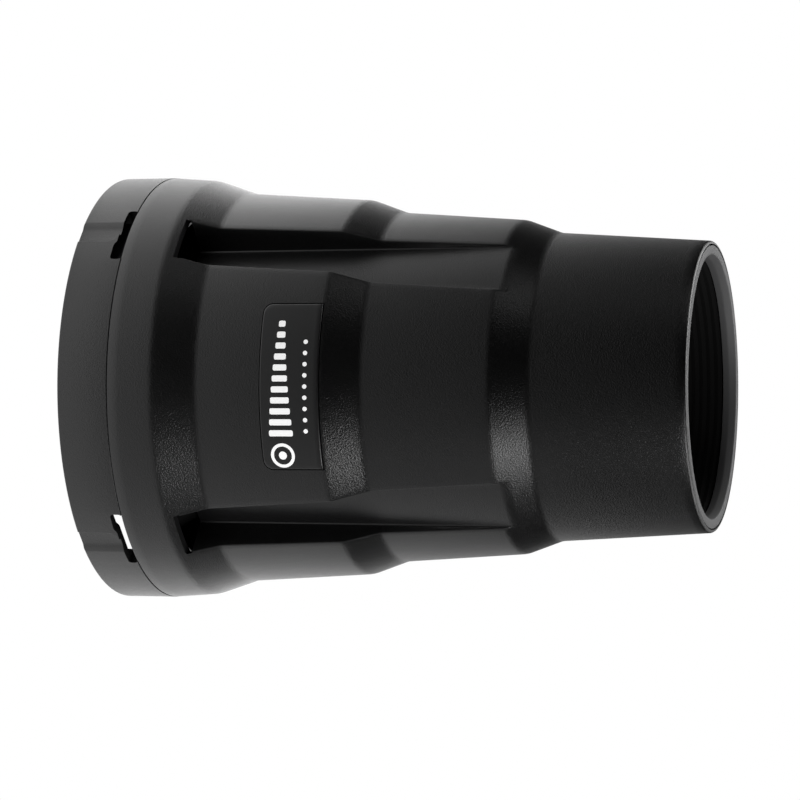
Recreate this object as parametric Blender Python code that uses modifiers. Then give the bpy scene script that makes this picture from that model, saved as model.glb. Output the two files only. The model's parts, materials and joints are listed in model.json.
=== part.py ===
"""Push-on light snoot for a round studio flash head.

The snoot stands on the rear rim of its mounting collar. The optical axis is +Z, the light leaves
through the nozzle at the top, and the badge faces -Y. All sizes are in metres.
"""
import math

import bmesh
import bpy
from mathutils import Matrix, Vector

# Outside: the collar, then shoulders and panels that step the body down to the nozzle
COLLAR_RADIUS = 0.0550
COLLAR_LENGTH = 0.0128
REAR_RING_LENGTH = 0.0114
REAR_RING_DROP = 0.0009
SHOULDER_1_LENGTH = 0.0104
SHOULDER_1_DROP = 0.0036
PANEL_1_LENGTH = 0.0317
PANEL_1_DROP = 0.0021
SHOULDER_2_LENGTH = 0.0092
SHOULDER_2_DROP = 0.0034
PANEL_2_LENGTH = 0.0318
PANEL_2_DROP = 0.0023
SHOULDER_3_LENGTH = 0.0091
SHOULDER_3_DROP = 0.0034
NOZZLE_LENGTH = 0.0388
NOZZLE_DROP = 0.0025
BODY_WALL = 0.0024
EDGE_ROUND = 0.0006

# Collar: a socket for the flash head, a seat ring and a spigot that plugs into the body
SOCKET_WALL = 0.0045
SOCKET_DEPTH = 0.0132
SEAT_WIDTH = 0.0050
SEAT_RING_LENGTH = 0.0086
LEAD_IN = 0.0025
GAP = 0.0003

# Four catch stations on the diagonals: a window, a groove, and either a lug or a spring claw
WINDOW_WIDTH = 0.0178
WINDOW_SHALLOW = 0.0021
WINDOW_DEEP = 0.0027
GROOVE_WIDTH = 0.0050
GROOVE_DEPTH = 0.0006
GROOVE_OFFSET = 0.0006
CLAW_WIDTH = 0.0140
CLAW_THICKNESS = 0.0008
CLAW_SET_BACK = 0.0004
CLAW_HOOK = 0.0015
CLAW_TIP_Z = 0.0008
CLAW_HOOK_Z = 0.0048
CLAW_TRAVEL_ROOM = 0.0020
CLAW_RELIEF = 0.0010
LUG_WIDTH = 0.0080
LUG_HEIGHT = 0.0011
LUG_LENGTH = 0.0030
LUG_FRONT_Z = 0.0074
LUG_RECESS = 0.0018

# Channels and cooling vents on the diagonals
CHANNEL_REAR_HALF_WIDTH = 0.0065
CHANNEL_FRONT_HALF_WIDTH = 0.0080
CHANNEL_SET_BACK = 0.0020
CHANNEL_END_DEPTH = 0.0007
CHANNEL_FLOOR_RISE = 0.0007
CHANNEL_RUN_OUT = 0.0035
CHANNEL_WALL = 0.0018
VENT_LENGTH = 0.0014

# Light tube inside the body, and the trim ring that closes the nozzle
TUBE_WALL = 0.0010
TUBE_REAR_CLEARANCE = 0.0005
TUBE_NEST = 0.0001
TUBE_EAR_WIDTH = 0.0090
TUBE_EAR_THICKNESS = 0.0012
APERTURE_RADIUS = 0.0327
RING_FLANGE = 0.0012
RING_LENGTH = 0.0034
NOZZLE_RIM = 0.0008

# Screws, threaded inserts, gasket and badge
SCREW_RADIUS = 0.00125
SCREW_HEAD_RADIUS = 0.0022
SCREW_HEAD_HEIGHT = 0.0014
SCREW_SOCKET_RADIUS = 0.0010
SCREW_SOCKET_DEPTH = 0.0009
SCREW_TIP_BEVEL = 0.0004
COLLAR_SCREW_LENGTH = 0.0140
CLAW_SCREW_LENGTH = 0.0036
CLAW_SCREW_SPACING = 0.0080
CLAMP_THICKNESS = 0.0006
INSERT_WALL = 0.0006
INSERT_LENGTH = 0.0060
BOSS_WALL = 0.0012
BOSS_LENGTH = 0.0120
GASKET_THICKNESS = 0.0015
GASKET_WIDTH = 0.0034
BADGE_WIDTH = 0.0408
BADGE_LENGTH = 0.0148
BADGE_PROUD = 0.0004
BADGE_SUNK = 0.0008
BADGE_CORNER = 0.0022

FACETS = 72
HALF_FACET = math.pi / FACETS
SCREW_FACETS = 16
BOSS_FACETS = 24
SOCKET_SIDES = 6
CUT_REACH = 0.0055
DIAGONALS = (45, 135, 225, 315)
CLAW_STATIONS = (135, 315)
LUG_STATIONS = (45, 225)
BOSS_STATIONS = (0, 90, 180, 270)
MERGE = 0.00001

# Stations along the axis, from the sizes above
RING_Z = COLLAR_LENGTH
SHOULDER_1_Z = RING_Z + REAR_RING_LENGTH
PANEL_1_Z = SHOULDER_1_Z + SHOULDER_1_LENGTH
SHOULDER_2_Z = PANEL_1_Z + PANEL_1_LENGTH
PANEL_2_Z = SHOULDER_2_Z + SHOULDER_2_LENGTH
SHOULDER_3_Z = PANEL_2_Z + PANEL_2_LENGTH
NOZZLE_Z = SHOULDER_3_Z + SHOULDER_3_LENGTH
FRONT_Z = NOZZLE_Z + NOZZLE_LENGTH

SHOULDER_1_RADIUS = COLLAR_RADIUS - REAR_RING_DROP
PANEL_1_RADIUS = SHOULDER_1_RADIUS - SHOULDER_1_DROP
SHOULDER_2_RADIUS = PANEL_1_RADIUS - PANEL_1_DROP
PANEL_2_RADIUS = SHOULDER_2_RADIUS - SHOULDER_2_DROP
SHOULDER_3_RADIUS = PANEL_2_RADIUS - PANEL_2_DROP
NOZZLE_RADIUS = SHOULDER_3_RADIUS - SHOULDER_3_DROP
FRONT_RADIUS = NOZZLE_RADIUS - NOZZLE_DROP

OUTER_STATIONS = (
    (COLLAR_RADIUS, RING_Z),
    (SHOULDER_1_RADIUS, SHOULDER_1_Z),
    (PANEL_1_RADIUS, PANEL_1_Z),
    (SHOULDER_2_RADIUS, SHOULDER_2_Z),
    (PANEL_2_RADIUS, PANEL_2_Z),
    (SHOULDER_3_RADIUS, SHOULDER_3_Z),
    (NOZZLE_RADIUS, NOZZLE_Z),
    (FRONT_RADIUS, FRONT_Z),
)

SOCKET_RADIUS = COLLAR_RADIUS - SOCKET_WALL
SEAT_INNER_RADIUS = SOCKET_RADIUS - SEAT_WIDTH
SPIGOT_RADIUS = COLLAR_RADIUS - BODY_WALL - GAP
SPIGOT_Z = SOCKET_DEPTH + SEAT_RING_LENGTH
BODY_REAR_Z = COLLAR_LENGTH + GAP

# Claw leaf: its arm stands behind the socket wall, its root sits in a slot of the seat ring
ARM_INNER_RADIUS = SOCKET_RADIUS + CLAW_SET_BACK
ARM_OUTER_RADIUS = ARM_INNER_RADIUS + CLAW_THICKNESS
HEAD_CORNER = CLAW_SCREW_SPACING / 2 + SCREW_HEAD_RADIUS
HEAD_TOP_RADIUS = math.sqrt(SPIGOT_RADIUS ** 2 - HEAD_CORNER ** 2)
ROOT_OUTER_RADIUS = HEAD_TOP_RADIUS - SCREW_HEAD_HEIGHT - CLAMP_THICKNESS - 2 * GAP
ROOT_INNER_RADIUS = ROOT_OUTER_RADIUS - CLAW_THICKNESS
ROOT_TOP_Z = SPIGOT_Z - 2 * GAP
CLAW_JOGGLE = ARM_OUTER_RADIUS - ROOT_OUTER_RADIUS
ROOT_BOTTOM_Z = SOCKET_DEPTH + GAP + CLAW_JOGGLE
CLAW_AXIS_RADIUS = (ROOT_OUTER_RADIUS + ROOT_INNER_RADIUS) / 2
CLAW_AXIS_Z = (ROOT_TOP_Z + ROOT_BOTTOM_Z) / 2
POCKET_RADIUS = ARM_OUTER_RADIUS + CLAW_TRAVEL_ROOM

CHANNEL_Z = SHOULDER_1_Z + CHANNEL_SET_BACK
BOSS_RADIUS = SCREW_RADIUS + GAP + INSERT_WALL + GAP + BOSS_WALL
BOSS_CENTRE = SPIGOT_RADIUS - BOSS_RADIUS
BOSS_REAR_Z = SPIGOT_Z + 2 * GAP + TUBE_EAR_THICKNESS
EAR_REAR_Z = SPIGOT_Z + GAP
TUBE_REAR_Z = SPIGOT_Z - TUBE_NEST
TUBE_NECK_Z = CHANNEL_Z + VENT_LENGTH
TUBE_FRONT_Z = FRONT_Z - RING_LENGTH - GAP


# ---------------------------------------------------------------- helpers

def clear_scene():
    """Remove every object that the file starts with."""
    for item in list(bpy.data.objects):
        bpy.data.objects.remove(item, do_unlink=True)


def collection(name):
    """Return a collection linked to the scene."""
    group = bpy.data.collections.new(name)
    bpy.context.scene.collection.children.link(group)
    return group


def material(name, colour, roughness, metallic):
    """Make a Principled material."""
    made = bpy.data.materials.new(name)
    made.use_nodes = True
    shader = made.node_tree.nodes["Principled BSDF"]
    shader.inputs["Base Color"].default_value = (*colour, 1.0)
    shader.inputs["Roughness"].default_value = roughness
    shader.inputs["Metallic"].default_value = metallic
    return made


def place(item, group, surface=None, angle=0.0):
    """Link an object, turn it about the optical axis and give it its material."""
    group.objects.link(item)
    item.rotation_euler.z = math.radians(angle)
    if surface is not None:
        item.data.materials.append(surface)
    return item


def turned(name, outline, group, surface=None, facets=FACETS):
    """Turn a closed outline, or one that starts and ends on the axis, about +Z."""
    on_axis = outline[0][0] == 0.0
    points = [(radius, 0.0, height) for radius, height in outline]
    count = len(points)
    edges = [(index, index + 1) for index in range(count - 1)]
    if not on_axis:
        edges.append((count - 1, 0))
    mesh = bpy.data.meshes.new(name)
    mesh.from_pydata(points, edges, [])
    item = place(bpy.data.objects.new(name, mesh), group, surface)
    screw = item.modifiers.new("turn", "SCREW")
    screw.axis = "Z"
    screw.angle = math.tau
    screw.steps = facets
    screw.render_steps = facets
    screw.use_merge_vertices = True
    screw.merge_threshold = MERGE
    screw.use_smooth_shade = True
    return item


def block(name, low, high, group, angle=0.0):
    """A box between two corners, seen from the front (-Y), then turned about the axis."""
    mesh = bpy.data.meshes.new(name)
    shape = bmesh.new()
    bmesh.ops.create_cube(shape, size=1.0)
    size = [high[axis] - low[axis] for axis in range(3)]
    middle = [(high[axis] + low[axis]) / 2 for axis in range(3)]
    bmesh.ops.scale(shape, vec=size, verts=shape.verts)
    bmesh.ops.translate(shape, vec=middle, verts=shape.verts)
    shape.to_mesh(mesh)
    shape.free()
    return place(bpy.data.objects.new(name, mesh), group, angle=angle)


def rod(name, radius, length, matrix, group, angle=0.0, facets=SCREW_FACETS):
    """A cylinder from its matrix's origin along its +Z."""
    mesh = bpy.data.meshes.new(name)
    shape = bmesh.new()
    bmesh.ops.create_cone(shape, cap_ends=True, segments=facets, radius1=radius, radius2=radius,
                          depth=length, matrix=matrix @ Matrix.Translation((0, 0, length / 2)))
    shape.to_mesh(mesh)
    shape.free()
    return place(bpy.data.objects.new(name, mesh), group, angle=angle)


def extruded(name, outline, thickness, turn, group, surface=None, angle=0.0):
    """Extrude a flat outline evenly to both sides and stand it up with a matrix."""
    curve = bpy.data.curves.new(name, "CURVE")
    curve.dimensions = "2D"
    curve.fill_mode = "BOTH"
    curve.extrude = thickness / 2
    spline = curve.splines.new("POLY")
    spline.points.add(len(outline) - 1)
    for point, (across, up) in zip(spline.points, outline):
        point.co = (across, up, 0.0, 1.0)
    spline.use_cyclic_u = True
    guide = bpy.data.objects.new(name + "_outline", curve)
    group.objects.link(guide)
    bpy.context.view_layer.update()
    graph = bpy.context.evaluated_depsgraph_get()
    mesh = bpy.data.meshes.new_from_object(guide.evaluated_get(graph))
    bpy.data.objects.remove(guide, do_unlink=True)
    shape = bmesh.new()
    shape.from_mesh(mesh)
    bmesh.ops.remove_doubles(shape, verts=shape.verts, dist=MERGE)
    bmesh.ops.transform(shape, matrix=turn, verts=shape.verts)
    bmesh.ops.recalc_face_normals(shape, faces=shape.faces)
    shape.to_mesh(mesh)
    shape.free()
    mesh.name = name
    return place(bpy.data.objects.new(name, mesh), group, surface, angle)


def cut(target, cutter, operation="DIFFERENCE"):
    """Cut one object with another and put the cutter out of sight."""
    cutter.hide_render = True
    cutter.display_type = "WIRE"
    knife = target.modifiers.new(cutter.name, "BOOLEAN")
    knife.operation = operation
    knife.solver = "EXACT"
    knife.object = cutter


def outer_radius(height):
    """Radius of the body's outside at a height, straight from station to station."""
    for (radius_a, z_a), (radius_b, z_b) in zip(OUTER_STATIONS, OUTER_STATIONS[1:]):
        if height <= z_b:
            return radius_a + (radius_b - radius_a) * (height - z_a) / (z_b - z_a)
    return FRONT_RADIUS


# Outlines of extruded pieces are drawn flat: these stand them up at the front (-Y) of the axis
SIDE_ON = Matrix(((0, 0, 1, 0), (-1, 0, 0, 0), (0, 1, 0, 0), (0, 0, 0, 1)))
FACE_ON = Matrix(((1, 0, 0, 0), (0, 0, -1, 0), (0, 1, 0, 0), (0, 0, 0, 1)))


def inward(radius, height, across=0.0):
    """Matrix of a rod that starts at a radius at the front and points at the axis."""
    return Matrix.Translation((across, -radius, height)) @ Matrix.Rotation(-math.pi / 2, 4, "X")


def upward(radius, height, across=0.0):
    """Matrix of a rod at a radius at the front that points along the optical axis."""
    return Matrix.Translation((across, -radius, height))


def rounded_rectangle(width, height, corner, centre_height, steps=4):
    """Outline of a rounded rectangle, with each corner as an arc."""
    points = []
    for quarter, (side, end) in enumerate(((1, 1), (-1, 1), (-1, -1), (1, -1))):
        centre = (side * (width / 2 - corner), centre_height + end * (height / 2 - corner))
        for step in range(steps + 1):
            turn = math.radians(90 * (quarter + step / steps))
            points.append((centre[0] + corner * math.cos(turn), centre[1] + corner * math.sin(turn)))
    return points


# ---------------------------------------------------------------- collar

def window_outline(mirror):
    """Opening at the collar's front edge, deeper on one half than on the other."""
    half = WINDOW_WIDTH / 2
    corner = WINDOW_SHALLOW / 3
    step = mirror * (GROOVE_WIDTH / 2 + GROOVE_OFFSET + GAP / 2)
    front = COLLAR_LENGTH + GAP
    deep = COLLAR_LENGTH - WINDOW_DEEP
    shallow = COLLAR_LENGTH - WINDOW_SHALLOW
    points = [
        (-mirror * half, front),
        (mirror * half, front),
        (mirror * half, deep + corner),
        (mirror * (half - corner), deep),
        (step + mirror * corner, deep),
        (step, shallow),
        (-mirror * (half - corner), shallow),
        (-mirror * half, shallow + corner),
    ]
    return points


def catch_mirror(angle):
    """The deep half of each window is the one nearer to the badge side or the back."""
    return 1 if angle in (135, 315) else -1


def make_collar(parts, cutters, surface):
    """Moulded collar: socket, seat ring, spigot, and the four catch stations."""
    collar = turned("mount_collar", (
        (COLLAR_RADIUS, COLLAR_LENGTH),
        (COLLAR_RADIUS, EDGE_ROUND),
        (COLLAR_RADIUS - EDGE_ROUND, 0.0),
        (SOCKET_RADIUS + LEAD_IN, 0.0),
        (SOCKET_RADIUS, LEAD_IN),
        (SOCKET_RADIUS, SOCKET_DEPTH),
        (SEAT_INNER_RADIUS, SOCKET_DEPTH),
        (SEAT_INNER_RADIUS, SPIGOT_Z),
        (SPIGOT_RADIUS, SPIGOT_Z),
        (SPIGOT_RADIUS, COLLAR_LENGTH),
    ), parts, surface)

    outside = COLLAR_RADIUS + CUT_REACH
    for angle in DIAGONALS:
        mirror = catch_mirror(angle)
        window = extruded("window_cut_%d" % angle, window_outline(mirror), 3 * SOCKET_WALL,
                          FACE_ON @ Matrix.Translation((0, 0, COLLAR_RADIUS)), cutters, angle=angle)
        cut(collar, window)
        groove_centre = mirror * GROOVE_OFFSET
        groove = block("groove_cut_%d" % angle,
                       (groove_centre - GROOVE_WIDTH / 2, -outside, -GAP),
                       (groove_centre + GROOVE_WIDTH / 2, GROOVE_DEPTH - COLLAR_RADIUS,
                        COLLAR_LENGTH - WINDOW_SHALLOW / 2), cutters, angle)
        cut(collar, groove)

    pocket_half = WINDOW_WIDTH / 2 - GAP
    for angle in CLAW_STATIONS:
        pocket = block("pocket_cut_%d" % angle,
                       (-pocket_half, -POCKET_RADIUS, -GAP),
                       (pocket_half, -SEAT_INNER_RADIUS, COLLAR_LENGTH - GAP), cutters, angle)
        slot_half = CLAW_WIDTH / 2 + GAP
        slot = block("slot_cut_%d" % angle,
                     (-slot_half, -outside, COLLAR_LENGTH - 2 * GAP),
                     (slot_half, GAP - ROOT_INNER_RADIUS, SPIGOT_Z + GAP), cutters, angle)
        cut(collar, pocket)
        cut(collar, slot)
        for side in (-1, 1):
            hole = rod("claw_hole_cut_%d_%d" % (angle, side), SCREW_RADIUS + GAP, SOCKET_WALL * 2,
                       inward(ROOT_OUTER_RADIUS, CLAW_AXIS_Z, side * CLAW_SCREW_SPACING / 2),
                       cutters, angle)
            cut(collar, hole)

    for angle in BOSS_STATIONS:
        hole = rod("screw_hole_cut_%d" % angle, SCREW_RADIUS + GAP, SEAT_RING_LENGTH * 2,
                   upward(BOSS_CENTRE, SOCKET_DEPTH), cutters, angle)
        sink = rod("screw_sink_cut_%d" % angle, SCREW_HEAD_RADIUS + GAP,
                   SCREW_HEAD_HEIGHT + 3 * GAP,
                   upward(BOSS_CENTRE, SOCKET_DEPTH - GAP), cutters, angle)
        cut(collar, hole)
        cut(collar, sink)

    for angle in LUG_STATIONS:
        recess = block("recess_cut_%d" % angle,
                       (-pocket_half, -SOCKET_RADIUS - LUG_RECESS, LUG_FRONT_Z),
                       (pocket_half, -SEAT_INNER_RADIUS, COLLAR_LENGTH - GAP), cutters, angle)
        lug = block("lug_%d" % angle,
                    (-LUG_WIDTH / 2, -SOCKET_RADIUS - SOCKET_WALL / 2, LUG_FRONT_Z - LUG_LENGTH),
                    (LUG_WIDTH / 2, LUG_HEIGHT - SOCKET_RADIUS, LUG_FRONT_Z), cutters, angle)
        cut(collar, recess)
        cut(collar, lug, "UNION")
    return collar


def make_claws(parts, cutters, surface, screw_surface, clamp_surface):
    """Two spring leaves, each with a clamp plate and two screws from outside the seat ring."""
    axis = Vector((0.0, -CLAW_AXIS_RADIUS, CLAW_AXIS_Z))
    outline = (
        (ARM_OUTER_RADIUS, CLAW_TIP_Z),
        (ARM_OUTER_RADIUS, SOCKET_DEPTH + GAP),
        (ROOT_OUTER_RADIUS, ROOT_BOTTOM_Z),
        (ROOT_OUTER_RADIUS, ROOT_TOP_Z),
        (ROOT_INNER_RADIUS, ROOT_TOP_Z),
        (ROOT_INNER_RADIUS, SOCKET_DEPTH + CLAW_JOGGLE),
        (ARM_INNER_RADIUS, SOCKET_DEPTH),
        (ARM_INNER_RADIUS, CLAW_HOOK_Z + CLAW_HOOK),
        (ARM_INNER_RADIUS - CLAW_HOOK, CLAW_HOOK_Z),
        (ARM_INNER_RADIUS - CLAW_HOOK, CLAW_HOOK_Z - CLAW_THICKNESS),
        (ARM_INNER_RADIUS, CLAW_TIP_Z),
    )
    for number, angle in enumerate(CLAW_STATIONS, start=1):
        spin = Matrix.Rotation(math.radians(angle), 4, "Z")
        pivot = bpy.data.objects.new("claw_pivot_%d" % number, None)
        parts.objects.link(pivot)
        pivot.location = spin @ axis
        pivot.rotation_euler.z = math.radians(angle)
        claw = extruded("spring_claw_%d" % number, outline, CLAW_WIDTH,
                        Matrix.Translation(-axis) @ SIDE_ON, parts, surface)
        claw.parent = pivot
        plate_low = ROOT_OUTER_RADIUS + GAP
        plate_half = CLAW_WIDTH / 2 - GAP
        plate = block("claw_clamp_%d" % number,
                      (-plate_half, -plate_low - CLAMP_THICKNESS, CLAW_AXIS_Z - SCREW_HEAD_RADIUS),
                      (plate_half, -plate_low, CLAW_AXIS_Z + SCREW_HEAD_RADIUS), parts, angle)
        plate.data.materials.append(clamp_surface)
        for side, letter in ((-1, "a"), (1, "b")):
            across = side * CLAW_SCREW_SPACING / 2
            hole = rod("leaf_hole_cut_%d_%s" % (number, letter), SCREW_RADIUS + GAP,
                       2 * CLAW_SCREW_LENGTH,
                       inward(ROOT_OUTER_RADIUS + CLAW_SCREW_LENGTH, CLAW_AXIS_Z, across),
                       cutters, angle)
            cut(claw, hole)
            cut(plate, hole)
            head_rest = plate_low + CLAMP_THICKNESS + GAP
            make_screw("claw_screw_%d%s" % (number, letter), CLAW_SCREW_LENGTH,
                       inward(head_rest, CLAW_AXIS_Z, across), parts, cutters, screw_surface, angle)


def make_screw(name, length, matrix, parts, cutters, surface, angle):
    """Cheese-head screw with a hexagon socket: the shank runs along the matrix's +Z."""
    screw = turned(name, (
        (0.0, length),
        (SCREW_RADIUS - SCREW_TIP_BEVEL, length),
        (SCREW_RADIUS, length - SCREW_TIP_BEVEL),
        (SCREW_RADIUS, 0.0),
        (SCREW_HEAD_RADIUS, 0.0),
        (SCREW_HEAD_RADIUS, -SCREW_HEAD_HEIGHT),
        (0.0, -SCREW_HEAD_HEIGHT),
    ), parts, surface, SCREW_FACETS)
    spin = Matrix.Rotation(math.radians(angle), 4, "Z")
    screw.matrix_world = spin @ matrix
    socket = rod(name + "_socket_cut", SCREW_SOCKET_RADIUS, 2 * SCREW_SOCKET_DEPTH,
                 matrix @ Matrix.Translation((0, 0, -SCREW_HEAD_HEIGHT - SCREW_SOCKET_DEPTH)),
                 cutters, angle, facets=SOCKET_SIDES)
    cut(screw, socket)
    return screw


def make_gasket(parts, surface):
    """Soft ring on the seat that the head's front presses against."""
    inner = SEAT_INNER_RADIUS + 2 * GAP
    outer = inner + GASKET_WIDTH
    rear = SOCKET_DEPTH - GAP - GASKET_THICKNESS
    front = SOCKET_DEPTH - GAP
    bevel = GASKET_THICKNESS / 4
    turned("seat_gasket", (
        (outer, front),
        (outer, rear + bevel),
        (outer - bevel, rear),
        (inner, rear),
        (inner, front),
    ), parts, surface)


# ---------------------------------------------------------------- body

def channel_block(name, wall, rear_z, front_z, outside, cutters, angle):
    """Tapered block that widens towards the nozzle, standing on the channel's floor cone."""
    run = SHOULDER_3_Z - CHANNEL_Z
    growth = (CHANNEL_FRONT_HALF_WIDTH - CHANNEL_REAR_HALF_WIDTH) / run

    def half_width(height):
        return CHANNEL_REAR_HALF_WIDTH + wall + growth * (height - CHANNEL_Z)

    outline = (
        (-half_width(rear_z), rear_z),
        (half_width(rear_z), rear_z),
        (half_width(front_z), front_z),
        (-half_width(front_z), front_z),
    )
    floor_depth = SHOULDER_3_RADIUS / 2
    middle = (outside + floor_depth) / 2
    shape = extruded(name, outline, outside - floor_depth,
                     FACE_ON @ Matrix.Translation((0, 0, middle)), cutters, angle=angle)
    core_front_z = front_z + BODY_WALL
    core_rear_z = rear_z - BODY_WALL
    core = turned(name + "_core", (
        (0.0, core_front_z),
        (floor_radius(core_front_z) - wall, core_front_z),
        (floor_radius(core_rear_z) - wall, core_rear_z),
        (0.0, core_rear_z),
    ), cutters)
    core.rotation_euler.z = HALF_FACET
    cut(shape, core)
    return shape


def floor_radius(height):
    """Radius of the channel floors, which close on the axis slightly towards the nozzle."""
    slope = CHANNEL_FLOOR_RISE / (SHOULDER_3_Z - CHANNEL_Z)
    return SHOULDER_3_RADIUS - CHANNEL_END_DEPTH + slope * (SHOULDER_3_Z - height)


def make_cavity(cutters):
    """Inside of the body, with the channel troughs and screw bosses left standing in it."""
    bore = SPIGOT_RADIUS + GAP
    slack = 3 * GAP
    inside = [(radius - BODY_WALL, height) for radius, height in OUTER_STATIONS[1:-1]]
    front_bore = FRONT_RADIUS - BODY_WALL
    tube_stop = FRONT_Z - RING_LENGTH
    outline = [(0.0, FRONT_Z + slack), (FRONT_RADIUS - NOZZLE_RIM, FRONT_Z + slack)]
    outline += [(FRONT_RADIUS - NOZZLE_RIM, FRONT_Z - RING_FLANGE - GAP)]
    outline += [(front_bore, FRONT_Z - RING_FLANGE - GAP), (front_bore, tube_stop)]
    outline += list(reversed(inside))
    outline += [(bore, SPIGOT_Z + GAP), (bore, BODY_REAR_Z - slack), (0.0, BODY_REAR_Z - slack)]
    cavity = turned("cavity_cut", outline, cutters)
    for angle in DIAGONALS:
        trough = channel_block("trough_%d" % angle, CHANNEL_WALL, CHANNEL_Z + VENT_LENGTH,
                               SHOULDER_3_Z + CHANNEL_RUN_OUT + CHANNEL_WALL,
                               COLLAR_RADIUS + CUT_REACH, cutters, angle)
        cut(cavity, trough)
    for angle in BOSS_STATIONS:
        boss = rod("boss_%d" % angle, BOSS_RADIUS, BOSS_LENGTH,
                   upward(BOSS_CENTRE, BOSS_REAR_Z), cutters, angle, facets=BOSS_FACETS)
        cut(cavity, boss)
    return cavity


def make_body(parts, cutters, surface):
    """Moulded body shell with stepped panels, four channels and their vents."""
    outline = [(0.0, FRONT_Z), (FRONT_RADIUS - EDGE_ROUND / 2, FRONT_Z)]
    outline += [(FRONT_RADIUS, FRONT_Z - EDGE_ROUND / 2)]
    outline += [(radius, height) for radius, height in reversed(OUTER_STATIONS[1:-1])]
    outline += [(COLLAR_RADIUS, BODY_REAR_Z), (0.0, BODY_REAR_Z)]
    body = turned("body_shell", outline, parts, surface)
    cut(body, make_cavity(cutters))
    for angle in DIAGONALS:
        channel = channel_block("channel_cut_%d" % angle, 0.0, CHANNEL_Z,
                                SHOULDER_3_Z + CHANNEL_RUN_OUT, COLLAR_RADIUS + 2 * CUT_REACH,
                                cutters, angle)
        cut(body, channel)
    for angle in BOSS_STATIONS:
        bore = rod("insert_bore_%d" % angle, SCREW_RADIUS + 2 * GAP + INSERT_WALL,
                   INSERT_LENGTH + 3 * GAP, upward(BOSS_CENTRE, BOSS_REAR_Z - GAP), cutters, angle)
        cut(body, bore)
    for angle in CLAW_STATIONS:
        relief = block("claw_relief_cut_%d" % angle,
                       (-CLAW_WIDTH / 2 - GAP, -ARM_OUTER_RADIUS - CLAW_RELIEF, BODY_REAR_Z - 3 * GAP),
                       (CLAW_WIDTH / 2 + GAP, -SEAT_INNER_RADIUS, CLAW_AXIS_Z), cutters, angle)
        cut(body, relief)
    cut(body, badge_blank("badge_pocket", cutters, cutters, GAP, BADGE_SUNK + GAP, BADGE_PROUD * 3))
    return body


def badge_blank(name, group, cutters, margin, below, above):
    """Curved plate that follows the first panel, trimmed to a rounded outline."""
    front_z = SHOULDER_2_Z - GAP + margin
    rear_z = front_z - BADGE_LENGTH - 2 * margin
    corner = BADGE_CORNER
    plate = turned(name, (
        (outer_radius(front_z) + above, front_z),
        (outer_radius(rear_z) + above, rear_z),
        (outer_radius(rear_z) - below, rear_z),
        (outer_radius(front_z) - below, front_z),
    ), group)
    outline = rounded_rectangle(BADGE_WIDTH + 2 * margin, BADGE_LENGTH + 2 * margin + corner,
                                corner, (front_z + rear_z + corner) / 2)
    trim = extruded(name + "_trim", outline, COLLAR_RADIUS,
                    FACE_ON @ Matrix.Translation((0, 0, COLLAR_RADIUS)), cutters)
    cut(plate, trim, "INTERSECT")
    return plate


def make_light_tube(parts, cutters, surface):
    """Inner tube that keeps stray light from the vents, held at four ears under the bosses."""
    neck = floor_radius(SHOULDER_3_Z) - CHANNEL_WALL - GAP
    rear = SEAT_INNER_RADIUS - TUBE_REAR_CLEARANCE
    mouth = FRONT_RADIUS - BODY_WALL - GAP
    tube = turned("light_tube", (
        (mouth, TUBE_FRONT_Z),
        (neck, TUBE_NECK_Z),
        (rear, TUBE_REAR_Z),
        (rear - TUBE_WALL, TUBE_REAR_Z),
        (neck - TUBE_WALL, TUBE_NECK_Z),
        (mouth - TUBE_WALL, TUBE_FRONT_Z),
    ), parts, surface)
    ear_foot = 1.5 * TUBE_WALL
    ear_front_z = EAR_REAR_Z + TUBE_EAR_THICKNESS
    ear_reach = outer_radius(ear_front_z) - BODY_WALL - 2 * GAP
    for angle in BOSS_STATIONS:
        ear = block("tube_ear_%d" % angle,
                    (-TUBE_EAR_WIDTH / 2, -ear_reach, EAR_REAR_Z),
                    (TUBE_EAR_WIDTH / 2, ear_foot - rear, ear_front_z),
                    cutters, angle)
        hole = rod("ear_hole_cut_%d" % angle, SCREW_RADIUS + GAP, 4 * TUBE_EAR_THICKNESS,
                   upward(BOSS_CENTRE, EAR_REAR_Z - TUBE_EAR_THICKNESS), cutters, angle)
        cut(tube, ear, "UNION")
        cut(tube, hole)
    return tube


def make_front_ring(parts, surface):
    """Trim ring pressed into the nozzle: its bore is the aperture."""
    flange = FRONT_RADIUS - NOZZLE_RIM - GAP
    sleeve = FRONT_RADIUS - BODY_WALL - GAP
    rear_z = FRONT_Z - RING_LENGTH
    round_off = EDGE_ROUND / 2
    turned("front_ring", (
        (flange, FRONT_Z),
        (flange, FRONT_Z - RING_FLANGE),
        (sleeve, FRONT_Z - RING_FLANGE),
        (sleeve, rear_z),
        (APERTURE_RADIUS, rear_z),
        (APERTURE_RADIUS, FRONT_Z - round_off),
        (APERTURE_RADIUS + round_off, FRONT_Z),
    ), parts, surface)


def make_fasteners(parts, cutters, steel, brass):
    """Four screws through the seat ring and the tube's ears into inserts in the bosses."""
    for number, angle in enumerate(BOSS_STATIONS, start=1):
        head_rest = SOCKET_DEPTH + SCREW_HEAD_HEIGHT + GAP
        make_screw("collar_screw_%d" % number, COLLAR_SCREW_LENGTH,
                   upward(BOSS_CENTRE, head_rest), parts, cutters, steel, angle)
        inner = SCREW_RADIUS + GAP
        rear = BOSS_REAR_Z + GAP
        insert = turned("boss_insert_%d" % number, (
            (inner + INSERT_WALL, INSERT_LENGTH),
            (inner + INSERT_WALL, 0.0),
            (inner, 0.0),
            (inner, INSERT_LENGTH),
        ), parts, brass, SCREW_FACETS)
        spin = Matrix.Rotation(math.radians(angle), 4, "Z")
        insert.matrix_world = spin @ upward(BOSS_CENTRE, rear)


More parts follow.
